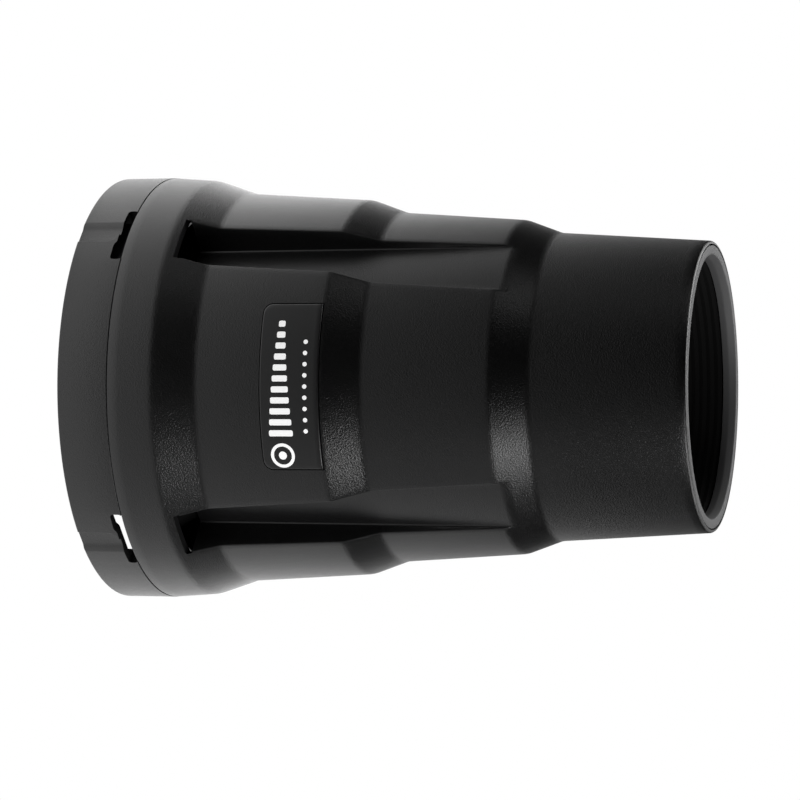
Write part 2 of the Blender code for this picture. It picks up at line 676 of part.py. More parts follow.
def main():
    """Build the snoot."""
    clear_scene()
    parts = collection("snoot")
    cutters = collection("cutters")
    moulded = material("black_moulded_plastic", (0.020, 0.020, 0.021), 0.52, 0.0)
    badge_black = material("badge_satin_black", (0.012, 0.012, 0.013), 0.35, 0.0)
    tube_black = material("tube_matt_black", (0.006, 0.006, 0.006), 0.85, 0.0)
    spring_steel = material("black_spring_steel", (0.06, 0.06, 0.065), 0.40, 1.0)
    screw_steel = material("zinc_plated_steel", (0.55, 0.55, 0.56), 0.35, 1.0)
    brass = material("brass_insert", (0.72, 0.52, 0.24), 0.35, 1.0)
    silicone = material("black_silicone", (0.018, 0.018, 0.018), 0.80, 0.0)

    make_collar(parts, cutters, moulded)
    make_body(parts, cutters, moulded)
    make_light_tube(parts, cutters, tube_black)
    make_front_ring(parts, moulded)
    make_gasket(parts, silicone)
    badge = badge_blank("badge_plate", parts, cutters, 0.0, BADGE_SUNK, BADGE_PROUD)
    badge.data.materials.append(badge_black)
    make_claws(parts, cutters, spring_steel, screw_steel, spring_steel)
    make_fasteners(parts, cutters, screw_steel, brass)


main()
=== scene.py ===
# %% [markdown]
# # A push-on snoot for a studio flash
#
# A snoot is a tube that narrows the light of a studio flash to a small spot. This one is moulded in
# black plastic: a collar that clips over the flash head, a body whose panels step down to a nozzle,
# and a black tube inside. The lesson starts from the working CAD model, keeps its sizes, and gives
# every piece its finished surface.

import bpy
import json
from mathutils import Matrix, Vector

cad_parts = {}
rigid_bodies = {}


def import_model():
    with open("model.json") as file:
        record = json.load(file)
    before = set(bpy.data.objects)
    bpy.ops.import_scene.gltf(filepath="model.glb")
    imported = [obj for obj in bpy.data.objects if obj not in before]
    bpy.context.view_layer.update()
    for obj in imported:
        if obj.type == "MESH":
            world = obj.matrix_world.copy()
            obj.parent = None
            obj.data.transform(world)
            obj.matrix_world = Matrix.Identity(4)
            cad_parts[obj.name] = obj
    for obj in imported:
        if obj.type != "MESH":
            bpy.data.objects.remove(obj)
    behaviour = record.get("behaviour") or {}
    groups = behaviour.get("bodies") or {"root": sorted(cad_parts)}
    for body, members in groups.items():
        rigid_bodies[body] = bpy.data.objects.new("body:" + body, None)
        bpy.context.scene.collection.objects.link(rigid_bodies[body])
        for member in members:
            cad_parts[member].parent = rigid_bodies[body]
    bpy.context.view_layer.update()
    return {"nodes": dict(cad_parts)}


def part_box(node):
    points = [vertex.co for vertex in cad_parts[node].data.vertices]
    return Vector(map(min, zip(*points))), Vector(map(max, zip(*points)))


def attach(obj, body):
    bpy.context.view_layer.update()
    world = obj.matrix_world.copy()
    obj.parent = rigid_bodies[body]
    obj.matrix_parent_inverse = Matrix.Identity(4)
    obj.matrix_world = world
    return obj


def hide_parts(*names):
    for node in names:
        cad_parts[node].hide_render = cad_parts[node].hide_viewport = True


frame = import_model()

# %% Modules and units
import json
import math

import bmesh
import bpy
from mathutils import Matrix, Vector

MM = 0.001


def set_inputs(node, **values):
    """Set unlinked sockets of a shader node by name, with _ for a space."""
    for label, value in values.items():
        node.inputs[label.replace("_", " ")].default_value = value


print("pieces in the frame:", len(frame["nodes"]))

# %% [markdown]
# ## Sizes
#
# The CAD model is the truth for every size. The overall ones are read from the boxes of its nodes;
# the steps of the body and the width of its channels are stated here again, because a box doesn't
# hold them.

# %% Sizes
FRONT_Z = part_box("body_shell")[1][2]
COLLAR_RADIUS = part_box("mount_collar")[1][0]
COLLAR_LENGTH = 12.8 * MM
GAP = 0.3 * MM
BODY_REAR_Z = COLLAR_LENGTH + GAP
STATIONS = [
    (12.8 * MM, 55.0 * MM),
    (24.2 * MM, 54.1 * MM),
    (34.6 * MM, 50.5 * MM),
    (66.3 * MM, 48.4 * MM),
    (75.5 * MM, 45.0 * MM),
    (107.3 * MM, 42.7 * MM),
    (116.4 * MM, 39.3 * MM),
    (155.2 * MM, 36.8 * MM),
]
SHOULDERS = [(STATIONS[i][0], STATIONS[i + 1][0]) for i in (1, 3, 5)]
DIAGONALS = (45, 135, 225, 315)
SCREW_STATIONS = (0, 90, 180, 270)
SHARP_ANGLE = 32
MERGE = 0.0005 * MM
CUT_MERGE = 0.002 * MM
CORNER_BLEND = 0.9 * MM
BODY_WALL = 2.4 * MM
CHANNEL_WALL = 1.8 * MM
CHANNEL_Z = 26.2 * MM
TROUGH_Z = 27.6 * MM
CHANNEL_END_Z = 107.3 * MM
CHANNEL_HALF_WIDTHS = (6.5 * MM, 8.0 * MM)
FLOOR_RADII = (42.7 * MM, 42.0 * MM)
SPIGOT_RADIUS = 52.3 * MM
SPIGOT_Z = 21.8 * MM
print("front at %.1f mm, collar %.1f mm in radius" % (FRONT_Z / MM, COLLAR_RADIUS / MM))

# %% [markdown]
# ## Camera, floor and light
#
# The snoot stands on its collar, and the picture is taken from the side with the camera on its side,
# so the optical axis runs across the frame. A long lens from almost a metre away keeps the rings
# nearly round. The pale floor fills the whole background.

# %% Camera
CAMERA_TILT = math.radians(15.71)
CAMERA_PLACE = Vector((3.3 * MM, -838.6 * MM, 309.1 * MM))
LENS_MM = 151.65

camera_data = bpy.data.cameras.new("camera")
camera_data.lens = LENS_MM
camera_data.sensor_width = 36.0
camera = bpy.data.objects.new("camera", camera_data)
bpy.context.scene.collection.objects.link(camera)
ahead = Vector((0.0, math.cos(CAMERA_TILT), -math.sin(CAMERA_TILT)))
across = Vector((0.0, math.sin(CAMERA_TILT), math.cos(CAMERA_TILT)))
upward = Vector((-1.0, 0.0, 0.0))
turn = Matrix((across, upward, -ahead)).transposed()
camera.matrix_world = Matrix.Translation(CAMERA_PLACE) @ turn.to_4x4()
bpy.context.scene.camera = camera
print("camera %.0f mm from the axis" % (-CAMERA_PLACE.y / MM))

# %% Floor
FLOOR_SIZE = 12.0
FLOOR_GAP = 0.2 * MM
# Painted pool of light on the floor: its emission is strongest round the object and fades with distance, in
# place of the lamps' falloff.
PAINTED_POOL_STRENGTH = 1.7
PAINTED_POOL_CENTRE = (-0.10, 0.10, 0.0)
PAINTED_LIGHT_POOL = [(0.06, 1.0), (0.12, 0.92), (0.17, 0.68), (0.20, 0.50), (0.27, 0.22), (0.40, 0.09),
              (0.60, 0.03), (1.0, 0.0)]


def floor_material():
    """Pale board: camera rays see it plain white; for other rays its emission is a painted pool of light,
    strongest round the object and fading with distance.
    """
    made = bpy.data.materials.new("pale_floor")
    made.use_nodes = True
    tree = made.node_tree
    board = tree.nodes["Principled BSDF"]
    set_inputs(board, Base_Color=(0.50, 0.50, 0.50, 1.0), Roughness=0.9, Emission_Strength=PAINTED_POOL_STRENGTH)
    place = tree.nodes.new("ShaderNodeTexCoord")
    distance = tree.nodes.new("ShaderNodeVectorMath")
    distance.operation = "DISTANCE"
    distance.inputs[1].default_value = PAINTED_POOL_CENTRE
    tree.links.new(place.outputs["Object"], distance.inputs[0])
    # The ramp paints the pool of light into the board's emission.
    painted_pool_ramp = tree.nodes.new("ShaderNodeValToRGB")
    painted_pool_ramp.color_ramp.interpolation = "EASE"
    painted_pool_ramp.color_ramp.elements.remove(painted_pool_ramp.color_ramp.elements[1])
    for index, (reach, level) in enumerate(PAINTED_LIGHT_POOL):
        stop = painted_pool_ramp.color_ramp.elements[0] if index == 0 else painted_pool_ramp.color_ramp.elements.new(reach)
        stop.position = reach
        stop.color = (level, level, level, 1.0)
    tree.links.new(distance.outputs["Value"], painted_pool_ramp.inputs["Fac"])
    tree.links.new(painted_pool_ramp.outputs["Color"], board.inputs["Emission Color"])
    glow = tree.nodes.new("ShaderNodeEmission")
    set_inputs(glow, Strength=1.0)
    both = tree.nodes.new("ShaderNodeMixShader")
    path = tree.nodes.new("ShaderNodeLightPath")
    tree.links.new(path.outputs["Is Camera Ray"], both.inputs["Fac"])
    tree.links.new(board.outputs["BSDF"], both.inputs[1])
    tree.links.new(glow.outputs["Emission"], both.inputs[2])
    tree.links.new(both.outputs["Shader"], tree.nodes["Material Output"].inputs["Surface"])
    return made


def make_floor():
    """A large flat board just under the collar's rim."""
    mesh = bpy.data.meshes.new("floor")
    shape = bmesh.new()
    bmesh.ops.create_grid(shape, x_segments=1, y_segments=1, size=FLOOR_SIZE / 2)
    bmesh.ops.translate(shape, vec=(0.0, 0.0, -FLOOR_GAP), verts=shape.verts)
    shape.to_mesh(mesh)
    shape.free()
    floor = bpy.data.objects.new("floor", mesh)
    bpy.context.scene.collection.objects.link(floor)
    mesh.materials.append(floor_material())
    return floor


make_floor()
print("floor ready")

# %% Lights
def soft_light(name, place, target, size, power):
    """A rectangular softbox that faces a point."""
    data = bpy.data.lights.new(name, "AREA")
    data.shape = "RECTANGLE"
    data.size, data.size_y = size
    data.energy = power
    light = bpy.data.objects.new(name, data)
    bpy.context.scene.collection.objects.link(light)
    light.location = place
    facing = Vector(target) - Vector(place)
    light.rotation_euler = facing.to_track_quat("-Z", "Y").to_euler()
    return light


MIDDLE = (0.0, 0.0, 0.07)
soft_light("overhead_box", (-0.18, 0.34, 0.50), (-0.10, 0.20, 0.0), (0.5, 0.5), 3.0)
soft_light("key_box", (0.60, -0.46, 0.62), MIDDLE, (0.30, 0.34), 4.4)
soft_light("fill_box", (-0.85, -0.31, 0.48), MIDDLE, (0.30, 0.40), 0.5)
soft_light("side_box", (0.42, 0.12, 0.45), (0.42, 0.12, 0.0), (0.4, 0.4), 2.2)
soft_light("back_box", (0.0, 1.30, 0.55), MIDDLE, (1.5, 0.8), 1.8)

world = bpy.data.worlds.new("studio")
bpy.context.scene.world = world
world.use_nodes = True
set_inputs(world.node_tree.nodes["Background"], Color=(1.0, 1.0, 1.0, 1.0), Strength=0.004)
bpy.context.scene.view_settings.view_transform = "Standard"
print("five soft boxes and a dim room")

# %% [markdown]
# ## Grain: a node group that several finishes share
#
# Moulds for camera gear are spark-eroded, which leaves a fine, even grain. The group turns object
# coordinates into a height and a roughness, and each plastic uses it with its own values.

# %% Grain group
def new_group(name, inputs, outputs):
    """An empty shader group with its sockets."""
    group = bpy.data.node_groups.new(name, "ShaderNodeTree")
    for label, value in inputs:
        socket = group.interface.new_socket(name=label, in_out="INPUT", socket_type="NodeSocketFloat")
        socket.default_value = value
    for label in outputs:
        group.interface.new_socket(name=label, in_out="OUTPUT", socket_type="NodeSocketFloat")
    return group


def make_grain_group():
    """Two sizes of noise: the spark craters, and a slow drift of the gloss."""
    tree = new_group("spark_grain", [("Scale", 3000.0), ("Drift", 0.05), ("Roughness", 0.5)],
                     ["Height", "Roughness"])
    start = tree.nodes.new("NodeGroupInput")
    end = tree.nodes.new("NodeGroupOutput")
    place = tree.nodes.new("ShaderNodeTexCoord")
    craters = tree.nodes.new("ShaderNodeTexNoise")
    set_inputs(craters, Detail=2.0, Roughness=0.6)
    tree.links.new(place.outputs["Object"], craters.inputs["Vector"])
    tree.links.new(start.outputs["Scale"], craters.inputs["Scale"])
    tree.links.new(craters.outputs["Fac"], end.inputs["Height"])
    slow = tree.nodes.new("ShaderNodeTexNoise")
    set_inputs(slow, Scale=45.0, Detail=3.0)
    tree.links.new(place.outputs["Object"], slow.inputs["Vector"])
    centred = tree.nodes.new("ShaderNodeMath")
    centred.operation = "SUBTRACT"
    centred.inputs[1].default_value = 0.5
    tree.links.new(slow.outputs["Fac"], centred.inputs[0])
    scaled = tree.nodes.new("ShaderNodeMath")
    scaled.operation = "MULTIPLY_ADD"
    tree.links.new(centred.outputs[0], scaled.inputs[0])
    tree.links.new(start.outputs["Drift"], scaled.inputs[1])
    tree.links.new(start.outputs["Roughness"], scaled.inputs[2])
    tree.links.new(scaled.outputs[0], end.inputs["Roughness"])
    return tree


grain_group = make_grain_group()
print("grain group:", [item.name for item in grain_group.interface.items_tree])

# %% Plastics
def plastic(name, colour, roughness, grain_scale, grain_depth, drift=0.08, specular=0.5):
    """Moulded plastic: one colour, with the grain in its bump and its gloss."""
    made = bpy.data.materials.new(name)
    made.use_nodes = True
    tree = made.node_tree
    shader = tree.nodes["Principled BSDF"]
    set_inputs(shader, Base_Color=(*colour, 1.0), Specular_IOR_Level=specular)
    grain = tree.nodes.new("ShaderNodeGroup")
    grain.node_tree = grain_group
    set_inputs(grain, Scale=grain_scale, Drift=drift, Roughness=roughness)
    bump = tree.nodes.new("ShaderNodeBump")
    set_inputs(bump, Strength=1.0, Distance=grain_depth)
    tree.links.new(grain.outputs["Height"], bump.inputs["Height"])
    tree.links.new(bump.outputs["Normal"], shader.inputs["Normal"])
    tree.links.new(grain.outputs["Roughness"], shader.inputs["Roughness"])
    return made


def metal(name, colour, roughness, grain_scale, grain_depth):
    """Metal with a fine uneven finish."""
    made = plastic(name, colour, roughness, grain_scale, grain_depth)
    set_inputs(made.node_tree.nodes["Principled BSDF"], Metallic=1.0)
    return made


fine_plastic = plastic("fine_moulded_plastic", (0.004, 0.004, 0.0042), 0.36, 2900.0, 0.080 * MM)
grained_plastic = plastic("grained_moulded_plastic", (0.002, 0.002, 0.0021), 0.30, 2800.0, 0.10 * MM)
badge_plastic = plastic("badge_black", (0.005, 0.005, 0.0053), 0.36, 5000.0, 0.006 * MM)
print_white_painted_glow = plastic("printed_white_painted_glow", (0.86, 0.86, 0.86), 0.55, 6000.0, 0.004 * MM)
trim_plastic = plastic("satin_trim_plastic", (0.055, 0.055, 0.056), 0.60, 2700.0, 0.03 * MM, specular=0.35)
# Dull matt black: the light tube's own finish, and on the cutters it paints shade on cut walls that are
# really the shell's plastic.
matt_black_and_painted_shade = plastic("tube_matt_black", (0.004, 0.004, 0.004), 0.95, 3500.0, 0.02 * MM, specular=0.1)
silicone = plastic("black_silicone", (0.015, 0.015, 0.015), 0.75, 2500.0, 0.01 * MM)
spring_steel = metal("black_spring_steel", (0.025, 0.025, 0.027), 0.45, 3000.0, 0.005 * MM)
zinc = metal("zinc_plating", (0.60, 0.60, 0.61), 0.34, 2500.0, 0.005 * MM)
brass = metal("plain_brass", (0.72, 0.50, 0.22), 0.32, 2500.0, 0.005 * MM)
# The print's emission is a painted glow: it makes the white marks brighter than the lamps light them.
set_inputs(print_white_painted_glow.node_tree.nodes["Principled BSDF"],
           Emission_Color=(1.0, 1.0, 1.0, 1.0), Emission_Strength=0.35)
print("finishes:", len(bpy.data.materials))

# %% [markdown]
# ## The body shell
#
# The body is turned, but for four channels that run along its diagonals. A Boolean cut would leave
# ragged triangles along each long edge, so the skin is laid out as a grid instead: rows across the
# axis and columns round it, with extra columns where a channel's edge, wall and foot are. The same
# rule with thinner radii gives the inside, and the two skins are joined at the rims and the vents.

# %% Outline of the body
def body_radius(height, blend=CORNER_BLEND):
    """Radius of the outside at a height, with each corner rounded by a short parabola."""
    slopes = [(b[1] - a[1]) / (b[0] - a[0]) for a, b in zip(STATIONS, STATIONS[1:])]
    radius = STATIONS[0][1] + slopes[0] * (height - STATIONS[0][0])
    for (corner, _), before, after in zip(STATIONS[1:], slopes, slopes[1:]):
        past = height - corner
        if past >= blend:
            radius += (after - before) * past
        elif past > -blend:
            radius += (after - before) * (past + blend) ** 2 / (4 * blend)
    return radius


def floor_radius(height):
    """Radius of the channel floors."""
    share = (height - CHANNEL_Z) / (CHANNEL_END_Z - CHANNEL_Z)
    return FLOOR_RADII[0] + (FLOOR_RADII[1] - FLOOR_RADII[0]) * share


def half_width(height):
    """Half the width of a channel."""
    share = (height - CHANNEL_Z) / (CHANNEL_END_Z - CHANNEL_Z)
    share = min(max(share, 0.0), 1.0)
    return CHANNEL_HALF_WIDTHS[0] + (CHANNEL_HALF_WIDTHS[1] - CHANNEL_HALF_WIDTHS[0]) * share


def channel_exit():
    """Height where the floor meets the falling third shoulder."""
    low, high = CHANNEL_END_Z, CHANNEL_END_Z + 6 * MM
    for _ in range(40):
        middle = (low + high) / 2
        if body_radius(middle) > floor_radius(middle):
            low = middle
        else:
            high = middle
    return low


EXIT_Z = channel_exit()
print("channels run from %.1f to %.1f mm" % (CHANNEL_Z / MM, EXIT_Z / MM))

# %% Rows and columns
EDGE_ROUND = 0.35 * MM
RIM_EDGE = 0.6 * MM
WALL_EDGE = 0.45 * MM
WALL_DRAFT = 0.25 * MM
FOOT_ROUND = 0.7 * MM
PANEL_COLUMNS = 46
FLOOR_COLUMNS = 12
ROW_SPACING = 2.6 * MM
ROW_MERGE = 0.02 * MM
INNER_EDGE = 0.2 * MM
COUNTERBORE_WALL = 0.8 * MM
COUNTERBORE_DEPTH = 1.5 * MM


def row_heights():
    """Heights of the rows between the rims: close at corners, wide on straight runs."""
    fixed = {BODY_REAR_Z + EDGE_ROUND, FRONT_Z - RIM_EDGE, CHANNEL_Z, TROUGH_Z, EXIT_Z}
    for corner, _ in STATIONS[1:-1]:
        fixed |= {corner + CORNER_BLEND * step / 3 for step in range(-3, 4)}
    marks = sorted(fixed)
    kept = [marks[0]]
    for mark in marks[1:]:
        gap = mark - kept[-1]
        if gap < ROW_MERGE:
            continue
        pieces = max(1, math.ceil(gap / ROW_SPACING))
        start = kept[-1]
        kept += [start + gap * step / pieces for step in range(1, pieces + 1)]
    return kept


def channel_columns():
    """Across one channel: (side, place beyond the wall line, share of the depth) for each column."""
    half = []
    for step in range(4):
        turn = math.radians(90 * step / 3)
        half.append((WALL_EDGE * (1 - math.sin(turn)), "edge", 1 - math.cos(turn)))
    half.append((-WALL_DRAFT * 0.5, "wall", 0.5))
    for step in range(4):
        turn = math.radians(90 * step / 3)
        half.append((-WALL_DRAFT - FOOT_ROUND * (1 - math.cos(turn)), "foot", math.sin(turn)))
    return half


rows = row_heights()
channel_half = channel_columns()
print("rows:", len(rows), "columns in half a channel:", len(channel_half))

# %% Skin of the body
def ring_points(height, radius, depth, width, edge_radius):
    """Points round one row: four panels and four channels, as (x, y) pairs."""
    points = []
    edge = min(edge_radius, depth / 2)
    foot = min(FOOT_ROUND, depth / 2)

    def polar(centre, tangent, level):
        along = math.sqrt(max(level * level - tangent * tangent, 0.0))
        turn = math.radians(centre)
        return (along * math.sin(turn) + tangent * math.cos(turn),
                -along * math.cos(turn) + tangent * math.sin(turn))

    def level_of(kind, share):
        if kind == "edge":
            return radius - edge * share
        if kind == "wall":
            return radius - depth * share
        return radius - depth + foot * (1 - share)

    for centre in DIAGONALS:
        across_half = [(width + offset, level_of(kind, share)) for offset, kind, share in channel_half]
        for tangent, level in across_half:
            points.append(polar(centre, -tangent, level))
        inner = across_half[-1][0]
        for step in range(1, FLOOR_COLUMNS):
            tangent = -inner + 2 * inner * step / FLOOR_COLUMNS
            points.append(polar(centre, tangent, radius - depth))
        for tangent, level in reversed(across_half):
            points.append(polar(centre, tangent, level))
        reach = math.degrees(math.asin(across_half[0][0] / radius))
        for step in range(1, PANEL_COLUMNS):
            turn = math.radians(centre + reach + (90 - 2 * reach) * step / PANEL_COLUMNS)
            points.append((radius * math.sin(turn), -radius * math.cos(turn)))
    return points


def inner_radius(height):
    """Radius of the inside: a straight bore for the collar's spigot, then a wall's thickness in."""
    bore = SPIGOT_RADIUS + GAP
    if height < SPIGOT_Z + GAP:
        return bore
    return min(bore, body_radius(height) - BODY_WALL)


def shell_rows():
    """Rows of both skins: (height, radius, depth, width) outside and inside."""
    bore = SPIGOT_RADIUS + GAP
    width = half_width(BODY_REAR_Z)
    outer = [(BODY_REAR_Z, COLLAR_RADIUS - EDGE_ROUND, 0.0, width)]
    for step in (1, 2):
        turn = math.radians(90 * step / 3)
        outer.append((BODY_REAR_Z + EDGE_ROUND * (1 - math.sin(turn)),
                      COLLAR_RADIUS - EDGE_ROUND * math.cos(turn), 0.0, width))
    inner = [(BODY_REAR_Z + EDGE_ROUND * step / 3, bore, 0.0, width + CHANNEL_WALL) for step in range(3)]
    for height in rows:
        radius = body_radius(height)
        in_channel = TROUGH_Z - ROW_MERGE / 2 <= height
        depth = max(radius - floor_radius(height), 0.0) if in_channel else 0.0
        width = half_width(height)
        outer.append((height, radius, depth, width))
        inside = inner_radius(height)
        inner_floor = min(inside, floor_radius(height) - CHANNEL_WALL)
        inner_depth = inside - inner_floor if in_channel else 0.0
        inner.append((height, inside, inner_depth, width + CHANNEL_WALL))
    return outer, inner


def rim_rows(outer, inner):
    """Rows that round the nozzle's rim and step its bore for the trim ring."""
    width = half_width(FRONT_Z)
    front = body_radius(FRONT_Z)
    for step in range(1, 5):
        turn = math.radians(90 * step / 4)
        outer.append((FRONT_Z - RIM_EDGE + RIM_EDGE * math.sin(turn),
                      front - RIM_EDGE * (1 - math.cos(turn)), 0.0, width))
    bore = front - BODY_WALL
    counterbore = front - COUNTERBORE_WALL
    step_z = FRONT_Z - COUNTERBORE_DEPTH
    last = inner[-1]
    inner[-1] = (step_z, bore, 0.0, last[3])
    inner.append((step_z, counterbore, 0.0, last[3]))
    inner.append(((step_z + FRONT_Z) / 2, counterbore, 0.0, last[3]))
    inner.append((FRONT_Z - 0.1 * MM, counterbore, 0.0, last[3]))
    inner.append((FRONT_Z, counterbore + 0.05 * MM, 0.0, last[3]))


outer_rows, inner_rows = shell_rows()
rim_rows(outer_rows, inner_rows)
print("outer rows:", len(outer_rows), "inner rows:", len(inner_rows))

# %% Join the two skins
def finished(name, mesh, sharp=SHARP_ANGLE):
    """An object at the origin, with faces outwards and smooth shading between real edges."""
    shape = bmesh.new()
    shape.from_mesh(mesh)
    bmesh.ops.remove_doubles(shape, verts=shape.verts, dist=MERGE)
    bmesh.ops.recalc_face_normals(shape, faces=shape.faces)
    shape.to_mesh(mesh)
    shape.free()
    item = bpy.data.objects.new(name, mesh)
    bpy.context.scene.collection.objects.link(item)
    mesh.shade_smooth()
    mesh.set_sharp_from_angle(angle=math.radians(sharp))
    return item


def built(name, verts, faces, slots, sharp=SHARP_ANGLE, face_slots=None):
    """An object from points and faces, with its finishes."""
    mesh = bpy.data.meshes.new(name)
    mesh.from_pydata(verts, [], faces)
    for surface in slots:
        mesh.materials.append(surface)
    if face_slots is not None:
        mesh.polygons.foreach_set("material_index", face_slots)
    return finished(name, mesh, sharp)


def band(low, high, count):
    """Faces between two closed loops of points, given the number of each loop's first point."""
    return [(low + i, low + (i + 1) % count, high + (i + 1) % count, high + i) for i in range(count)]


def stacked(name, loops, surface):
    """A solid from loops of points, one behind the other, with a flat face at each end."""
    count = len(loops[0])
    last = count * (len(loops) - 1)
    faces = [tuple(range(count)), tuple(range(last + count - 1, last - 1, -1))]
    for level in range(len(loops) - 1):
        faces += band(level * count, (level + 1) * count, count)
    return built(name, [point for loop in loops for point in loop], faces, (surface,))


def is_grained(height, in_channel):
    """The shoulders and the nozzle carry the deeper grain; panels and channels don't."""
    if in_channel:
        return False
    if height > SHOULDERS[-1][0]:
        return True
    return any(low < height < high for low, high in SHOULDERS)


def make_shell():
    """Body shell: outer skin, inner skin, and the strips that close the rims and the vents."""
    verts = []
    for skin in (outer_rows, inner_rows):
        for height, radius, depth, width in skin:
            edge = WALL_EDGE if skin is outer_rows else INNER_EDGE
            verts += [(x, y, height) for x, y in ring_points(height, radius, depth, width, edge)]
    columns = len(verts) // (len(outer_rows) + len(inner_rows))
    per_side = columns // 4
    channel_span = 2 * len(channel_half) + FLOOR_COLUMNS - 1
    second = len(outer_rows) * columns
    vent_row = min(range(len(outer_rows)), key=lambda i: abs(outer_rows[i][0] - CHANNEL_Z))
    faces, face_slots = [], []

    def at(skin, row, column):
        return skin * second + row * columns + column % columns

    def add(face, slot_index):
        faces.append(face)
        face_slots.append(slot_index)

    def open_cell(row, column):
        return row == vent_row and (column % per_side) < channel_span - 1

    for row in range(len(outer_rows) - 1):
        middle = (outer_rows[row][0] + outer_rows[row + 1][0]) / 2
        for column in range(columns):
            if open_cell(row, column):
                continue
            in_channel = (column % per_side) < channel_span - 1 and row > vent_row and middle < EXIT_Z
            grained = 1 if is_grained(middle, in_channel) else 0
            for skin in (0, 1):
                face = (at(skin, row, column), at(skin, row, column + 1),
                        at(skin, row + 1, column + 1), at(skin, row + 1, column))
                add(face, grained if skin == 0 else 0)
    for column in range(columns):
        closing = (0, len(outer_rows) - 1)
        if open_cell(vent_row, column):
            closing += (vent_row, vent_row + 1)
        for row in closing:
            add((at(0, row, column), at(0, row, column + 1),
                 at(1, row, column + 1), at(1, row, column)), 0)
    for side in range(4):
        for column in (side * per_side, side * per_side + channel_span - 1):
            add((at(0, vent_row, column), at(0, vent_row + 1, column),
                 at(1, vent_row + 1, column), at(1, vent_row, column)), 0)
    return built("shell_skin", verts, faces, (fine_plastic, grained_plastic), face_slots=face_slots)


shell = make_shell()
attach(shell, "snoot_body")
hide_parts("body_shell")
print("shell faces:", len(shell.data.polygons))

# %% [markdown]
# ## Turned pieces
#
# The collar, the gasket and the trim ring are turned: an outline swept round the optical axis. Each
# corner of the outline is given as its place and how far its rounding reaches along both sides.

# %% Turning tools
FACETS = 240


def rounded_outline(corners, steps=4):
    """Closed outline of (radius, height) points, with a small curve at each corner."""
    points = []
    for index, (radius, height, reach) in enumerate(corners):
        corner = Vector((radius, height))
        if reach == 0.0:
            points.append(tuple(corner))
            continue
        before = (Vector(corners[index - 1][:2]) - corner).normalized() * reach
        after = (Vector(corners[(index + 1) % len(corners)][:2]) - corner).normalized() * reach
        for step in range(steps + 1):
            share = step / steps
            points.append(tuple(corner + before * (1 - share) ** 2 + after * share ** 2))
    return points


def turned(name, outline, surface):
    """Sweep a closed outline round the optical axis."""
    verts, faces = [], []
    count = len(outline)
    for step in range(FACETS):
        turn = math.tau * step / FACETS
        verts += [(radius * math.sin(turn), -radius * math.cos(turn), z) for radius, z in outline]
        faces += band(step * count, (step + 1) % FACETS * count, count)
    return built(name, verts, faces, (surface,))


def prism(name, outline, near, far, angle, surface=fine_plastic):
    """An outline of (across, height) points stood at a station and swept from near to far radius."""
    turn = Matrix.Rotation(math.radians(angle), 4, "Z")
    return stacked(name, [[turn @ Vector((x, -depth, z)) for x, z in outline] for depth in (near, far)],
                   surface)


def drill(name, radius, start, direction, length, sides=40):
    """A rod from a start point along a direction."""
    mesh = bpy.data.meshes.new(name)
    shape = bmesh.new()
    aim = Vector(direction).to_track_quat("Z", "Y").to_matrix().to_4x4()
    middle = Matrix.Translation(Vector(start) + Vector(direction) * length / 2)
    bmesh.ops.create_cone(shape, cap_ends=True, segments=sides, radius1=radius, radius2=radius,
                          depth=length, matrix=middle @ aim)
    shape.to_mesh(mesh)
    shape.free()
    mesh.materials.append(fine_plastic)
    return finished(name, mesh)


def carve(target, cutter, operation="DIFFERENCE"):
    """Cut a mesh with another one, keep the result and drop the cutter."""
    knife = target.modifiers.new("knife", "BOOLEAN")
    knife.operation = operation
    knife.solver = "EXACT"
    knife.material_mode = "TRANSFER"
    knife.object = cutter
    bpy.context.view_layer.update()
    graph = bpy.context.evaluated_depsgraph_get()
    result = bpy.data.meshes.new_from_object(target.evaluated_get(graph))
    target.modifiers.remove(knife)
    old = target.data
    target.data = result
    bpy.data.meshes.remove(old)
    bpy.data.objects.remove(cutter, do_unlink=True)


def clean_cuts(item):
    """After a row of cuts: merge doubles, drop slivers, fill small gaps and set the shading."""
    shape = bmesh.new()
    shape.from_mesh(item.data)
    bmesh.ops.remove_doubles(shape, verts=shape.verts, dist=CUT_MERGE)
    bmesh.ops.dissolve_degenerate(shape, edges=shape.edges, dist=CUT_MERGE)
    many = [face for face in shape.faces if len(face.verts) > 4]
    bmesh.ops.triangulate(shape, faces=many)
    gaps = [edge for edge in shape.edges if edge.is_boundary]
    bmesh.ops.holes_fill(shape, edges=gaps, sides=4)
    open_edges = sum(1 for edge in shape.edges if len(edge.link_faces) != 2)
    shape.to_mesh(item.data)
    shape.free()
    item.data.shade_smooth()
    item.data.set_sharp_from_angle(angle=math.radians(SHARP_ANGLE))
    print(item.name, "open edges:", open_edges)


print("tools for turned pieces ready")

# %% [markdown]
# ## The collar
#
# The collar is a socket for the flash head. Four catch stations lie on its diagonals: a stepped
# window at its front edge, a shallow groove from the rear rim to the window, and behind it either a
# spring claw in a pocket or a moulded lug. A seat ring closes the socket, and its spigot plugs into
# the body.

